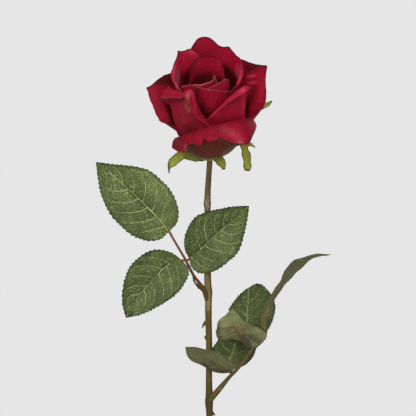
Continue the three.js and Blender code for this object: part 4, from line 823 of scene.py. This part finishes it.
def leafletShell(leaflet, seed):
    # both halves side by side, with side veins as grooves of |cos| along reach - slant a
    look = leafMesh
    t = np.linspace(0.004, 0.996, look["rows"])
    mid = byLength(place(leaflet["mid"]), t)
    left, right = (leafletEdge(leaflet, *side, t, mid, seed) for side in (("left", -1), ("right", 1)))
    surface = np.concatenate([left[:, ::-1], mid[:, None], right], 1)
    half = look["columns"] // 2
    across = np.broadcast_to(np.arange(-half, half + 1) / half, surface.shape[:2])
    reach = np.broadcast_to(t[:, None], surface.shape[:2])
    away = np.abs(across)
    under = leaflet.get("under", False)
    upper = normals(surface) * (-1 if under else 1)
    phase = (reach - look["slant"] * away**1.3) * look["sideVeins"] + 0.45 * (across > 0)
    phase = phase + 0.14 * wander(seed, across * 3, reach * 6)
    width = np.linalg.norm(surface[:, :1] - surface[:, -1:], axis=-1)
    relief = look["quilt"] * (np.abs(np.cos(np.pi * phase)) ** 0.6 - 0.6) * ease(away, 0.02, 0.2)
    relief = relief * (1 - 0.7 * ease(away, 0.75, 1.0))
    fromMidrib = away * width / 2
    relief = relief - look["groove"] * np.exp(-((fromMidrib / 1.5) ** 2))
    relief = relief + 0.3 * np.exp(-((fromMidrib / 0.4) ** 2))
    relief = relief + look["swell"] * wander(seed + 7, across * 5, reach * 9) * ease(away, 0.15, 0.7)
    surface = surface + upper * (relief * np.minimum(1, width / 16))[..., None]
    thick = look["thickness"] * (1 - 0.4 * ease(away, 0.8, 1.0)) * np.clip(width / 3, 0.5, 1)
    thick = thick + look["midribThickness"] * np.exp(-((fromMidrib / 0.6) ** 2)) * (1 - 0.8 * reach)
    surface = surface - upper * ((thick - look["thickness"]) / 2)[..., None]
    stainsAndShade = strokes(surface, leaflet.get("stainsAndShade", ())).ravel()
    brown, dark = 1 + leaflet.get("brown", 0.0), -leaflet.get("dark", 0.0)
    sides = (brown + stainsAndShade, dark) if under else (dark - stainsAndShade, brown)
    shell = sheetShell(surface, thick, across, reach, *sides)
    shell["phase"] = np.tile(phase.ravel(), 2)
    shell["drawn"] = np.tile(strokes(surface, leaflet.get("lines", ())).ravel(), 2)
    return shell


def along(rows, t, step):
    # line(t) and its direction, the unit of line(t + step) - line(t - step)
    line, ahead, behind = (byLength(place(rows), t + move) for move in (0, step, -step))
    return line, unit(ahead[:, :3] - behind[:, :3])


def tubeRings(rows, sides, steps, shape=None):
    # ring(t, turn) = line(t) + radius(t) shape(t, turn) (cos turn across + sin turn other)
    t = np.linspace(0, 1, steps)
    line, forward = along(rows, t, 0.004)
    across = unit(np.cross([0, 1.0, 0], forward))
    other = np.cross(forward, across)
    turn, c, s = circle(sides)
    radius = line[:, 3:4] * (1 if shape is None else shape(t[:, None], turn[None]))
    rings = line[:, None, :3] + across[:, None] * (radius * c)[..., None]
    return rings + other[:, None] * (radius * s)[..., None]


def rounded(rings, rows=5):
    # ends drawn in over a few rings, so that a tube closes in a soft cap
    draw = np.sin(np.linspace(0.12, 1, rows) * np.pi / 2)
    full = np.ones(len(rings))
    full[:rows], full[-rows:] = draw, draw[::-1]
    centre = rings.mean(1, keepdims=True)
    return centre + (rings - centre) * full[:, None, None]


stalkLook = dict(
    brown=colour(0.115, 0.040, 0.016), red=colour(0.17, 0.060, 0.028), olive=colour(0.088, 0.064, 0.015),
    pale=colour(0.36, 0.27, 0.17), turnLow=0.2790, turnHigh=0.2870)


def stalkMaterial():
    # red-brown above the turning heights, olive below them
    skin = Finish("leafStalk", 160.0, 1400.0, {"Specular IOR Level": 0.15})
    fibres = skin.use(streak, Count=22.0, Length=14.0)["Fine"]
    upper = coats(stalkLook, stalkLook["brown"], (fibres, "red"))
    tint = coats(
        stalkLook, stalkLook["olive"], (skin.cloud * 0.4, "brown"),
        (skin.high().step(stalkLook["turnLow"], stalkLook["turnHigh"]), upper),
        (skin.cloud.step(0.75, 1.0) * skin.grain * 0.5, "pale"))
    return skin.done(tint, skin.grain.step(0.0, 1.0, 0.42, 0.62), fibres, 0.00015)


# column, row, depth and radius, and for the stipule half its width
upperStalk = [
    [207.6, 301, -0.5, 1.7], [206.3, 295, -1.5, 2.1], [203.5, 289, -3, 1.7], [199, 282.5, -5.5, 1.2],
    [193.5, 275, -8, 1], [186, 260.5, -12, 0.9], [178, 247, -14, 0.8], [170.5, 234, -15, 0.8]]
lowerStalk = [
    [209, 402, -1, 2], [213.5, 396, -2, 2.1], [219, 389.5, -2.5, 2], [223.5, 384, -3, 1.7],
    [229.5, 377, -4, 1.3], [237, 369.5, -4, 1.2], [244.5, 360.5, -4, 1.1], [251.5, 350.5, -4, 1.1],
    [257.5, 345.5, -4, 1], [263, 340, -4, 1], [266, 333, -4, 0.9], [266, 322, -4.5, 0.8],
    [267.5, 311, -5.5, 0.6]]
stipule = [
    [205.5, 293, -3.2, 0.9], [201.2, 289, -4, 0.9], [197.2, 285.2, -5, 0.8], [194.3, 281.5, -6.2, 0.6],
    [193.3, 277.5, -7.2, 0.5], [193.4, 273, -8.2, 0.35]]


strapMesh = dict(rows=70, columns=19, crumple=0.12)


def strapShell(rows, face, cup, ragged, seed, thickness=0.5):
    # point(a, t) = line(t) + a width(t) across(t) + cup width a^2 away from the face
    t, a = np.linspace(0, 1, strapMesh["rows"]), np.linspace(-1, 1, strapMesh["columns"])
    line, forward = along(rows, t, 0.01)
    across = unit(np.cross(forward, np.array(face, float)))
    out = np.cross(across, forward)
    width = line[:, 3:4] * (1 + ragged * wander(seed, t * 30, count=8)[:, None] * np.abs(a) ** 2)
    lift = cup * line[:, 3:4] * (a**2)
    surface = line[:, None, :3] + across[:, None] * (width * a)[..., None] + out[:, None] * lift[..., None]
    reach = np.broadcast_to(t[:, None], surface.shape[:2])
    thick = thickness * (1 - 0.5 * np.abs(a) ** 3) * (1 - 0.4 * reach)
    crumple = strapMesh["crumple"] * wander(seed + 5, a * 5, t[:, None] * 9)
    surface = surface + normals(surface) * crumple[..., None]
    return sheetShell(surface, thick, np.broadcast_to(a, reach.shape), reach)


def groove(t, turn):
    # a channel along the upper side of a leaf's stalk, where the turn is near 0
    return 1 + 0.05 * np.sin(3 * turn + 9 * t) - 0.12 * np.exp(-(np.sin(turn / 2) / 0.3)**2)


# radii of a leaflet's own stalk, and where its last two rows lie on the midrib, in rows of its table
stalkMesh = dict(sides=28, steps=220, smallSides=16, smallSteps=40, radii=(0.85, 0.75, 0.5, 0.2),
                 into=(0.03, 0.1), intoUnder=(0.06, 0.2))


def buildLeaves(blade, stalk):
    look = stalkMesh
    for node, leaflets, rows in (("leaf_upper", upperLeaflets, upperStalk),
                                 ("leaf_lower", lowerLeaflets, lowerStalk)):
        shells = []
        for seed, (name, leaflet) in enumerate(leaflets.items()):
            shell = leafletShell(leaflet, 40 + 13 * seed + len(leaflets))
            makePiece(f"{node}_{name}", [shell], blade, node)
            mid, near = leaflet["mid"], look["intoUnder" if leaflet.get("under") else "into"]
            spots = [leaflet["root"], mid[0], *through(mid, np.array(near) / (len(mid) - 1))]
            line = [[*spot, radius] for spot, radius in zip(spots, look["radii"])]
            shells.append(tubeShell(rounded(tubeRings(line, look["smallSides"], look["smallSteps"]))))
        shells.append(tubeShell(rounded(tubeRings(rows, look["sides"], look["steps"], groove))))
        if node == "leaf_upper":
            shells.append(strapShell(stipule, [0, -1, 0], cup=0.5, ragged=0.35, seed=3, thickness=0.4))
        makePiece(node + "_stalk", shells, stalk, node)


# column, row, depth and radius from the hip down, and from each thorn's foot to its tip
stemRows = [
    [210, 156.5, 4.6, 1.9], [209.7, 163, 2.6, 1.9], [209, 172, 1.2, 1.9], [208, 188, 0.3, 2],
    [207.6, 199, 0, 2.2], [207.4, 204, 0, 2.5], [207.6, 211, 0, 2.1], [207.6, 240, 0, 2.1],
    [207.6, 272, 0, 2.3], [207.9, 285, 0, 2.4], [208.1, 292, 0, 2.8], [208.3, 300, 0, 2.4],
    [208.4, 320, 0, 2.2], [209, 345, 0, 2.1], [209, 380, 0, 2.1], [209.2, 394, 0, 2.4],
    [209.1, 402, 0, 2.7], [209.5, 414, 0, 2.2], [210, 440, 0, 2.1], [211, 500, 0.5, 2.1],
    [213, 580, 1.5, 2.1], [215.5, 690, 3, 2.1]]
thorns = [
    [[207.5, 321, 0, 1.6], [204.8, 323.5, -0.3, 1.2], [203, 326, -0.4, 0.6], [202.2, 328.5, -0.4, 0.25]],
    [[208, 338, 0, 1.8], [206.2, 337.5, -0.3, 1.5], [205, 337, -0.4, 1], [204.3, 337, -0.4, 0.6]],
    [[210, 411, 0, 1.6], [212.3, 413, -0.3, 1.2], [214.3, 414.5, -0.3, 0.6], [215.3, 415.5, -0.3, 0.25]]]
stemMesh = dict(sides=40, steps=900, capRows=4, thornSides=20, thornSteps=40)
stemLook = dict(
    # height in metres and colour, from the foot up; the bright stop at 0.2895 is partly painted light
    # that lifts the stem in the upper leaf's shadow
    stops=[(0.16, (0.075, 0.064, 0.004)), (0.205, (0.080, 0.068, 0.004)), (0.235, (0.115, 0.090, 0.010)),
           (0.265, (0.195, 0.150, 0.030)), (0.2895, (0.43, 0.33, 0.090)), (0.305, (0.230, 0.150, 0.045)),
           (0.328, (0.190, 0.110, 0.045)), (0.340, (0.160, 0.088, 0.042)), (0.353, (0.125, 0.070, 0.032)),
           (0.363, (0.235, 0.145, 0.070)), (0.372, (0.25, 0.155, 0.085))],
    low=0.14, high=0.38, nodes=(0.271, 0.337),
    dark=colour(0.045, 0.026, 0.010), pale=colour(0.52, 0.42, 0.31))


def stemMaterial():
    look, skin = stemLook, Finish("stemBark", 140.0, 1100.0, {"Specular IOR Level": 0.15})
    fibres, high, span = skin.use(streak, Count=26.0, Length=60.0), skin.high(), look["high"] - look["low"]
    ramp = add(skin.tree, "ValToRGB", {0: (high - look["low"]) / span})
    stops = ramp.color_ramp.elements
    while len(stops) > 1:
        stops.remove(stops[0])
    for k, (height, tone) in enumerate(look["stops"]):
        at = (height - look["low"]) / span
        stop = stops[0] if k == 0 else stops.new(at)
        stop.position, stop.color = at, colour(*tone)
    # painted shade: a dark side on the right, which the turn 0.5 faces, and a weaker one on the left
    side = abs(skin.across - 0.52).step(0.06, 0.15, 0.85, 0.0)
    side = side | (0.5 - abs(skin.across - 0.5)).step(0.02, 0.09, 0.6, 0.0)
    near = [abs(high - node).step(0.001, 0.007, 1.0, 0.0) for node in look["nodes"]]
    scars = [(one * skin.grain.step(0.55, 0.8) * 0.6, "pale") for one in near]
    tint = coats(look, ramp.outputs[0], (fibres["Streak"] * 0.65, "dark"), (fibres["Fine"] * 0.3, "dark"),
                 (side, "dark"), *scars)
    return skin.done(tint, skin.grain.step(0.0, 1.0, 0.4, 0.6), fibres["Fine"] + skin.grain)


def ridges(t, turn):
    # soft ridges that wind slowly, and small lumps
    lumps = wander(2, np.cos(turn) * 2, np.sin(turn) * 2, t * 60)
    return 1 + 0.03 * np.sin(5 * turn + 14 * t) + 0.02 * lumps


def buildStem(material):
    look = stemMesh
    rings = tubeRings(stemRows, look["sides"], look["steps"], ridges)
    shells = [tubeShell(rounded(rings, look["capRows"]))]
    for rows in thorns:
        shells.append(tubeShell(rounded(tubeRings(rows, look["thornSides"], look["thornSteps"]))))
    makePiece("stem_stalk", shells, material, "stem")


def onAxis(angle, radius, height):
    # the front view place of a point round the bloom's axis: angle from the right
    x, y = radius * cos(radians(angle)), radius * sin(radians(angle))
    depth = y * tiltCos - height * tiltSin
    far = 1 + depth / grid["eyeDistance"]
    column = (bloom["column"] + x / grid["step"] - grid["eyeColumn"]) / far
    row = (bloom["row"] - (y * tiltSin + height * tiltCos) / grid["step"] - grid["eyeRow"]) / far
    return [column + grid["eyeColumn"], row + grid["eyeRow"], depth]


hip = dict(rings=90, sides=72, ridge=0.02, profile=[
    [1, -7.9], [2.4, -7.6], [3.8, -6.8], [5.6, -5.6], [7.3, -4.2], [8.5, -3],
    [9, bloom["hipTop"]], [7, bloom["hipTop"]], [1, bloom["hipTop"]]])
# rows of each sepal: column, row, depth and half its width; the lobe is a small side leaf of one
sepals = dict(
    left=dict(face=[0, -1, 0.2],
        lines=[([[168.5, 163], [169, 168], [169, 174]], 1.1, 0.9), ([[186, 154], [194, 157.5], [202, 160]],
            2, 0.45), ([[182, 152.5], [186, 157]], 1.4, 0.35)],
        rows=[[207, 156, 4.5, 2.2], [198, 158, 3, 2.4], [190, 156.5, 2, 2.6], [183, 154.8, 0.5, 2.9],
            [176.5, 159, -1, 3.7], [171.6, 163.8, -2, 2.9], [169.4, 167.5, -2.5, 1.2],
            [169.1, 170, -2.5, 0.6], [169, 173.5, -2.5, 0.35]]),
    centre=dict(face=[0, -1, 0], lines=[([[220.5, 170], [225.5, 168.5]], 1.2, 0.9)],
        rows=[[213, 155.5, 4, 2.6], [217.5, 158, 2, 3.2], [220.5, 161.5, 1, 3], [222.8, 165.5, 0.5, 2.2],
            [223.8, 169.6, 0.5, 1.1]]),
    right=dict(face=[0, -1, 0], lines=[([[243.8, 163], [244.5, 168.5], [247, 171]], 1.1, 0.7)],
        rows=[[213.5, 153.5, 5.5, 2.2], [223, 151, 6.5, 2.3], [232, 145, 6.5, 2.3], [239, 141.6, 5, 2.5],
            [243.5, 143.8, 3.8, 2.8], [244.9, 150, 3.6, 2.5], [246.9, 158, 4, 2.8], [247.4, 166, 4.5, 2.7],
            [247, 171, 4.5, 1.5]]),
    backRight=dict(face=[0.3, 0.8, -0.5],
        rows=[[*onAxis(50, 7, -4), 2.3], [*onAxis(45, 15, -4.2), 2.6], [*onAxis(40, 22, -1), 2.8],
            [244, 124, 15, 2.9], [250, 113, 15, 2.9], [256, 107.5, 13.5, 2.9], [262, 105.6, 12, 2.7],
            [267.5, 104, 11, 2], [272, 101, 10, 0.4]]),
    backLeft=dict(face=[-0.5, 0.7, -0.4],
        rows=[[*onAxis(130, 7, -4), 2.3], [*onAxis(132, 16, -4.2), 2.6], [*onAxis(134, 24, -1), 2.7],
            [*onAxis(135, 29, 7), 2.6], [*onAxis(136, 32, 15), 2.2], [*onAxis(137, 35, 21), 1.5],
            [*onAxis(138, 39, 24), 0.5]]),
    lobe=dict(face=[0, -1, 0], rows=[[246.5, 145.5, 3.4, 0.9], [249.5, 144.2, 3, 1.1],
        [252.5, 145.6, 2.8, 0.9], [255.3, 147.5, 2.8, 0.3]]),
)
sepalLook = dict(light=colour(0.44, 0.41, 0.052), dark=colour(0.205, 0.225, 0.018),
                 tip=colour(0.035, 0.035, 0.015), edge=colour(0.050, 0.055, 0.015))


def calyxMaterial():
    skin = Finish("sepalSkin", 170.0, 1500.0, {
        "Specular IOR Level": 0.3, "Sheen Weight": 0.15, "Sheen Roughness": 0.5,
        "Sheen Tint": colour(0.9, 0.95, 0.6)})
    fibres = skin.use(streak, Count=9.0, Length=4.0)["Fine"]
    # a strap is twelve times as long as it is wide, so its reach is counted twelve times from the end
    edge = skin.use(dryBorder, Reach=1.0 - (1.0 - skin.reach) * 12.0, Width=0.32)["Mask"]
    tint = coats(
        sepalLook, sepalLook["light"], (fibres, "dark"), (skin.cloud * 0.5, "dark"),
        (skin.reach.step(0.3, 0.55, 0.6, 0.0), "dark"), (edge * 0.85, "edge"),
        (skin.reach.step(0.96, 0.985, 0.0, 0.8) | skin.told("drawn"), "tip"))
    return skin.done(tint, skin.grain.step(0.0, 1.0, 0.5, 0.7), fibres + skin.grain, 0.00015)


def buildCalyx(material):
    body = turned(through(hip["profile"], np.linspace(0, 1, hip["rings"])), hip["sides"], hip["ridge"])
    shells = [tubeShell(lean(body), np.broadcast_to([0, 0.2, 0], body.shape))]
    for seed, sepal in enumerate(sepals.values()):
        shell = strapShell(sepal["rows"], sepal["face"], ragged=0.16, seed=20 + seed, cup=0.18)
        shell["drawn"] = strokes(shell["points"], sepal.get("lines", ()))
        shells.append(shell)
    makePiece("calyx_sepals", shells, material, "calyx")


# radius and height of the wall. The base and the floor close it with straight stretches
vaseBase = [[0.5, 0], [8, 0], [16, 0], [22, 0], [24.6, 0], [25.8, 0.35]]
vaseOutside = [
    [26.6, 1], [28.6, 8.5], [32, 24], [34.2, 43], [32.8, 62], [27.6, 78], [21, 94], [15.6, 112],
    [12.3, 130], [11, 147], [11.6, 158], [13.6, 165.5], [15.2, 168.6], [14.8, 170]]
vaseInside = [
    [13, 169.6], [11, 166], [8.6, 157.5], [8, 147.5], [9, 130.5], [12.2, 112.5], [17.6, 94.5], [24, 78.5],
    [29.2, 62.5], [30.6, 43], [28.4, 25], [24.8, 11.5], [19, 5], [0, 5]]
vaseFloor = [[12, 5], [5, 5], [0.5, 5]]
vaseMesh = dict(outsideRings=150, insideRings=130, sides=160)
waterLook = dict(
    level=118, gap=0.3, meniscus=0.9, climb=9, floor=5, floorRadius=18, holeRadius=2.5,
    wallSteps=400, rings=90, topRings=24, sides=96,
    clear=colour(0.93, 0.97, 0.95), deep=colour(0.86, 0.93, 0.88))
glazeLook = dict(light=colour(0.83, 0.80, 0.74), warm=colour(0.74, 0.69, 0.60),
                 clay=colour(0.52, 0.43, 0.33), speck=colour(0.36, 0.29, 0.21),
                 lip=(0.1675, 0.1698), foot=(0.0012, 0.0022))


def glazeMaterial():
    skin = Finish("vaseGlaze", 28.0, 700.0, {"Coat Roughness": 0.06, "Specular IOR Level": 0.5})
    rings = made(skin.tree, "TexWave", {"Vector": skin.spot, "Scale": 70.0, "Distortion": 2.0,
                                        "Detail": 2.0}, "Fac", bands_direction="Z")
    dots = made(skin.tree, "TexVoronoi", {"Vector": skin.spot, "Scale": 330.0, "Randomness": 1.0})
    bare = skin.high().step(*glazeLook["foot"], 1.0, 0.0)
    tint = coats(
        glazeLook, glazeLook["light"], (skin.cloud * 0.45, "warm"), (rings * 0.12, "warm"),
        (dots.step(0.05, 0.14, 1.0, 0.0) * skin.grain.step(0.5, 0.9) * 0.55, "speck"),
        (skin.high().step(*glazeLook["lip"], 0.0, 0.55), "clay"), (bare, "clay"))
    skin.tree.links.new(((1.0 - bare) * 0.7).socket, skin.shader["Coat Weight"])
    return skin.done(tint, skin.grain.step(0.0, 1.0, 0.14, 0.22) + bare * 0.5, rings, strength=0.25)


def waterMaterial():
    skin = Finish("clearWater", 40.0, 500.0, {"Transmission Weight": 1.0, "IOR": 1.33})
    tint = coats(waterLook, waterLook["clear"], (skin.cloud, "deep"))
    return skin.done(tint, skin.grain.step(0.0, 1.0, 0.02, 0.05), skin.cloud, 0.0003, 0.1)


def buildVase(glaze, water):
    wall = through(vaseOutside, np.linspace(0, 1, vaseMesh["outsideRings"]))
    inside = through(vaseInside[:-1], np.linspace(0, 1, vaseMesh["insideRings"]))
    line = np.concatenate([vaseBase, wall, inside, vaseFloor])
    makePiece("vase_body", [tubeShell(turned(line, vaseMesh["sides"]))], glaze, "vase")
    # the water fills the inside up to its level and rises a little at wall and stem, as exp(-climb part)
    look, gap, level = waterLook, waterLook["gap"], waterLook["level"]
    height = np.linspace(look["floor"] + gap, level, look["rings"])
    fine = through(vaseInside[::-1], np.linspace(0, 1, look["wallSteps"]))
    radius = np.interp(height, np.maximum.accumulate(fine[:, 1]), fine[:, 0]) - gap * 1.3
    radius[0] = look["floorRadius"]
    stem = place(stemRows)[::-1]
    centre = np.stack([np.interp(height, stem[:, 2], stem[:, k]) for k in (0, 1)], -1)
    ring = np.stack(circle(look["sides"])[1:], -1)
    up = np.broadcast_to(height[:, None, None], (look["rings"], look["sides"], 1))
    hole = np.concatenate([centre[:, None] + look["holeRadius"] * ring, up], -1)
    outer = np.concatenate([radius[:, None, None] * ring, up], -1)
    hole[-1, :, 2] += look["meniscus"]
    outer[-1, :, 2] += look["meniscus"]
    part = np.linspace(0, 1, look["topRings"])[1:-1, None, None]
    top = hole[-1] * (1 - part) + outer[-1] * part
    rise = np.exp(-part * look["climb"]) + np.exp(-(1 - part) * look["climb"])
    top[..., 2] = level + (look["meniscus"] * rise)[..., 0]
    bottom = outer[0] * (1 - part) + hole[0] * part
    body = loopShell(np.concatenate([hole, top, outer[::-1], bottom]))
    makePiece("water_body", [body], water, "water")


# half the picture's width in columns, and the camera's sensor
view = dict(halfWidth=208, sensor=36)
studio = dict(world=0.79, ambient=0.2, aim=(0, 0, 0.36),
              floor=0.6, floorRadius=1.4, floorSides=96, floorDrop=0.0005)
lamps = dict(
    key=dict(spot=(-0.9, -0.95, 0.9), size=0.6, power=8.5),
    top=dict(spot=(0.1, -0.5, 1.6), size=1.2, power=5.0),
    front=dict(spot=(0.15, -1.6, 0.75), size=1.0, power=21.0),
    back=dict(spot=(0.3, 1.6, 0.95), size=1.6, power=9.0))


def buildStudio():
    # the eye's camera, a plain world that is brighter to the camera than it lights, and four soft lamps
    scene = bpy.context.scene
    camera = bpy.data.objects.new("camera", bpy.data.cameras.new("camera"))
    scene.collection.objects.link(camera)
    x, _, z = eye * mm
    camera.location = (x, -grid["eyeDistance"] * mm, z)
    camera.rotation_euler = (radians(90), 0, 0)
    camera.data.sensor_width = view["sensor"]
    camera.data.lens = view["sensor"] / 2 * grid["eyeDistance"] / (view["halfWidth"] * grid["step"])
    scene.camera = camera
    scene.view_settings.view_transform = "Standard"
    scene.world = bpy.data.worlds.new("studio")
    scene.world.use_nodes = True
    tree = scene.world.node_tree
    watched = add(tree, "LightPath", {}).outputs["Is Camera Ray"]
    shade = add(tree, "MapRange", {0: watched, 3: studio["ambient"], 4: studio["world"]}).outputs[0]
    tree.links.new(shade, tree.nodes["Background"].inputs["Strength"])
    tree.nodes["Background"].inputs["Color"].default_value = colour(1.0, 1.0, 1.0)
    for name, lamp in lamps.items():
        light = bpy.data.lights.new(name, "AREA")
        light.energy, light.size = lamp["power"], lamp["size"]
        held = bpy.data.objects.new(name, light)
        held.location = lamp["spot"]
        held.rotation_euler = (Vector(studio["aim"]) - held.location).to_track_quat("-Z", "Y").to_euler()
        scene.collection.objects.link(held)


def buildFloor():
    # a plain pale disc just under the vase's foot
    grey = {name: colour(*[studio["floor"] * part] * 3) for name, part in (("light", 1), ("dark", 0.96))}
    skin = Finish("studioFloor", 3.0, 400.0, {"Specular IOR Level": 0.2})
    tint = coats(grey, grey["light"], (skin.cloud * 0.2, "dark"))
    turn, c, s = circle(studio["floorSides"])
    mesh = bpy.data.meshes.new("floor")
    radius = studio["floorRadius"]
    points = np.stack([c * radius, s * radius, 0 * turn - studio["floorDrop"]], -1)
    mesh.from_pydata(points.tolist(), [], [list(range(len(points)))])
    mesh.materials.append(skin.done(tint, skin.grain.step(0.0, 1.0, 0.6, 0.7)))
    floor = bpy.data.objects.new("floor", mesh)
    bpy.context.scene.collection.objects.link(floor)


print("camera, lights and floor")
buildStudio()
buildFloor()
print("bloom")
buildBloom({border: petalMaterial(border) for border in ("dry", "soft", "wearAndSheen")})
print("leaves")
buildLeaves(leafMaterial(), stalkMaterial())
print("stem and calyx")
buildStem(stemMaterial())
buildCalyx(calyxMaterial())
print("vase and water")
buildVase(glazeMaterial(), waterMaterial())
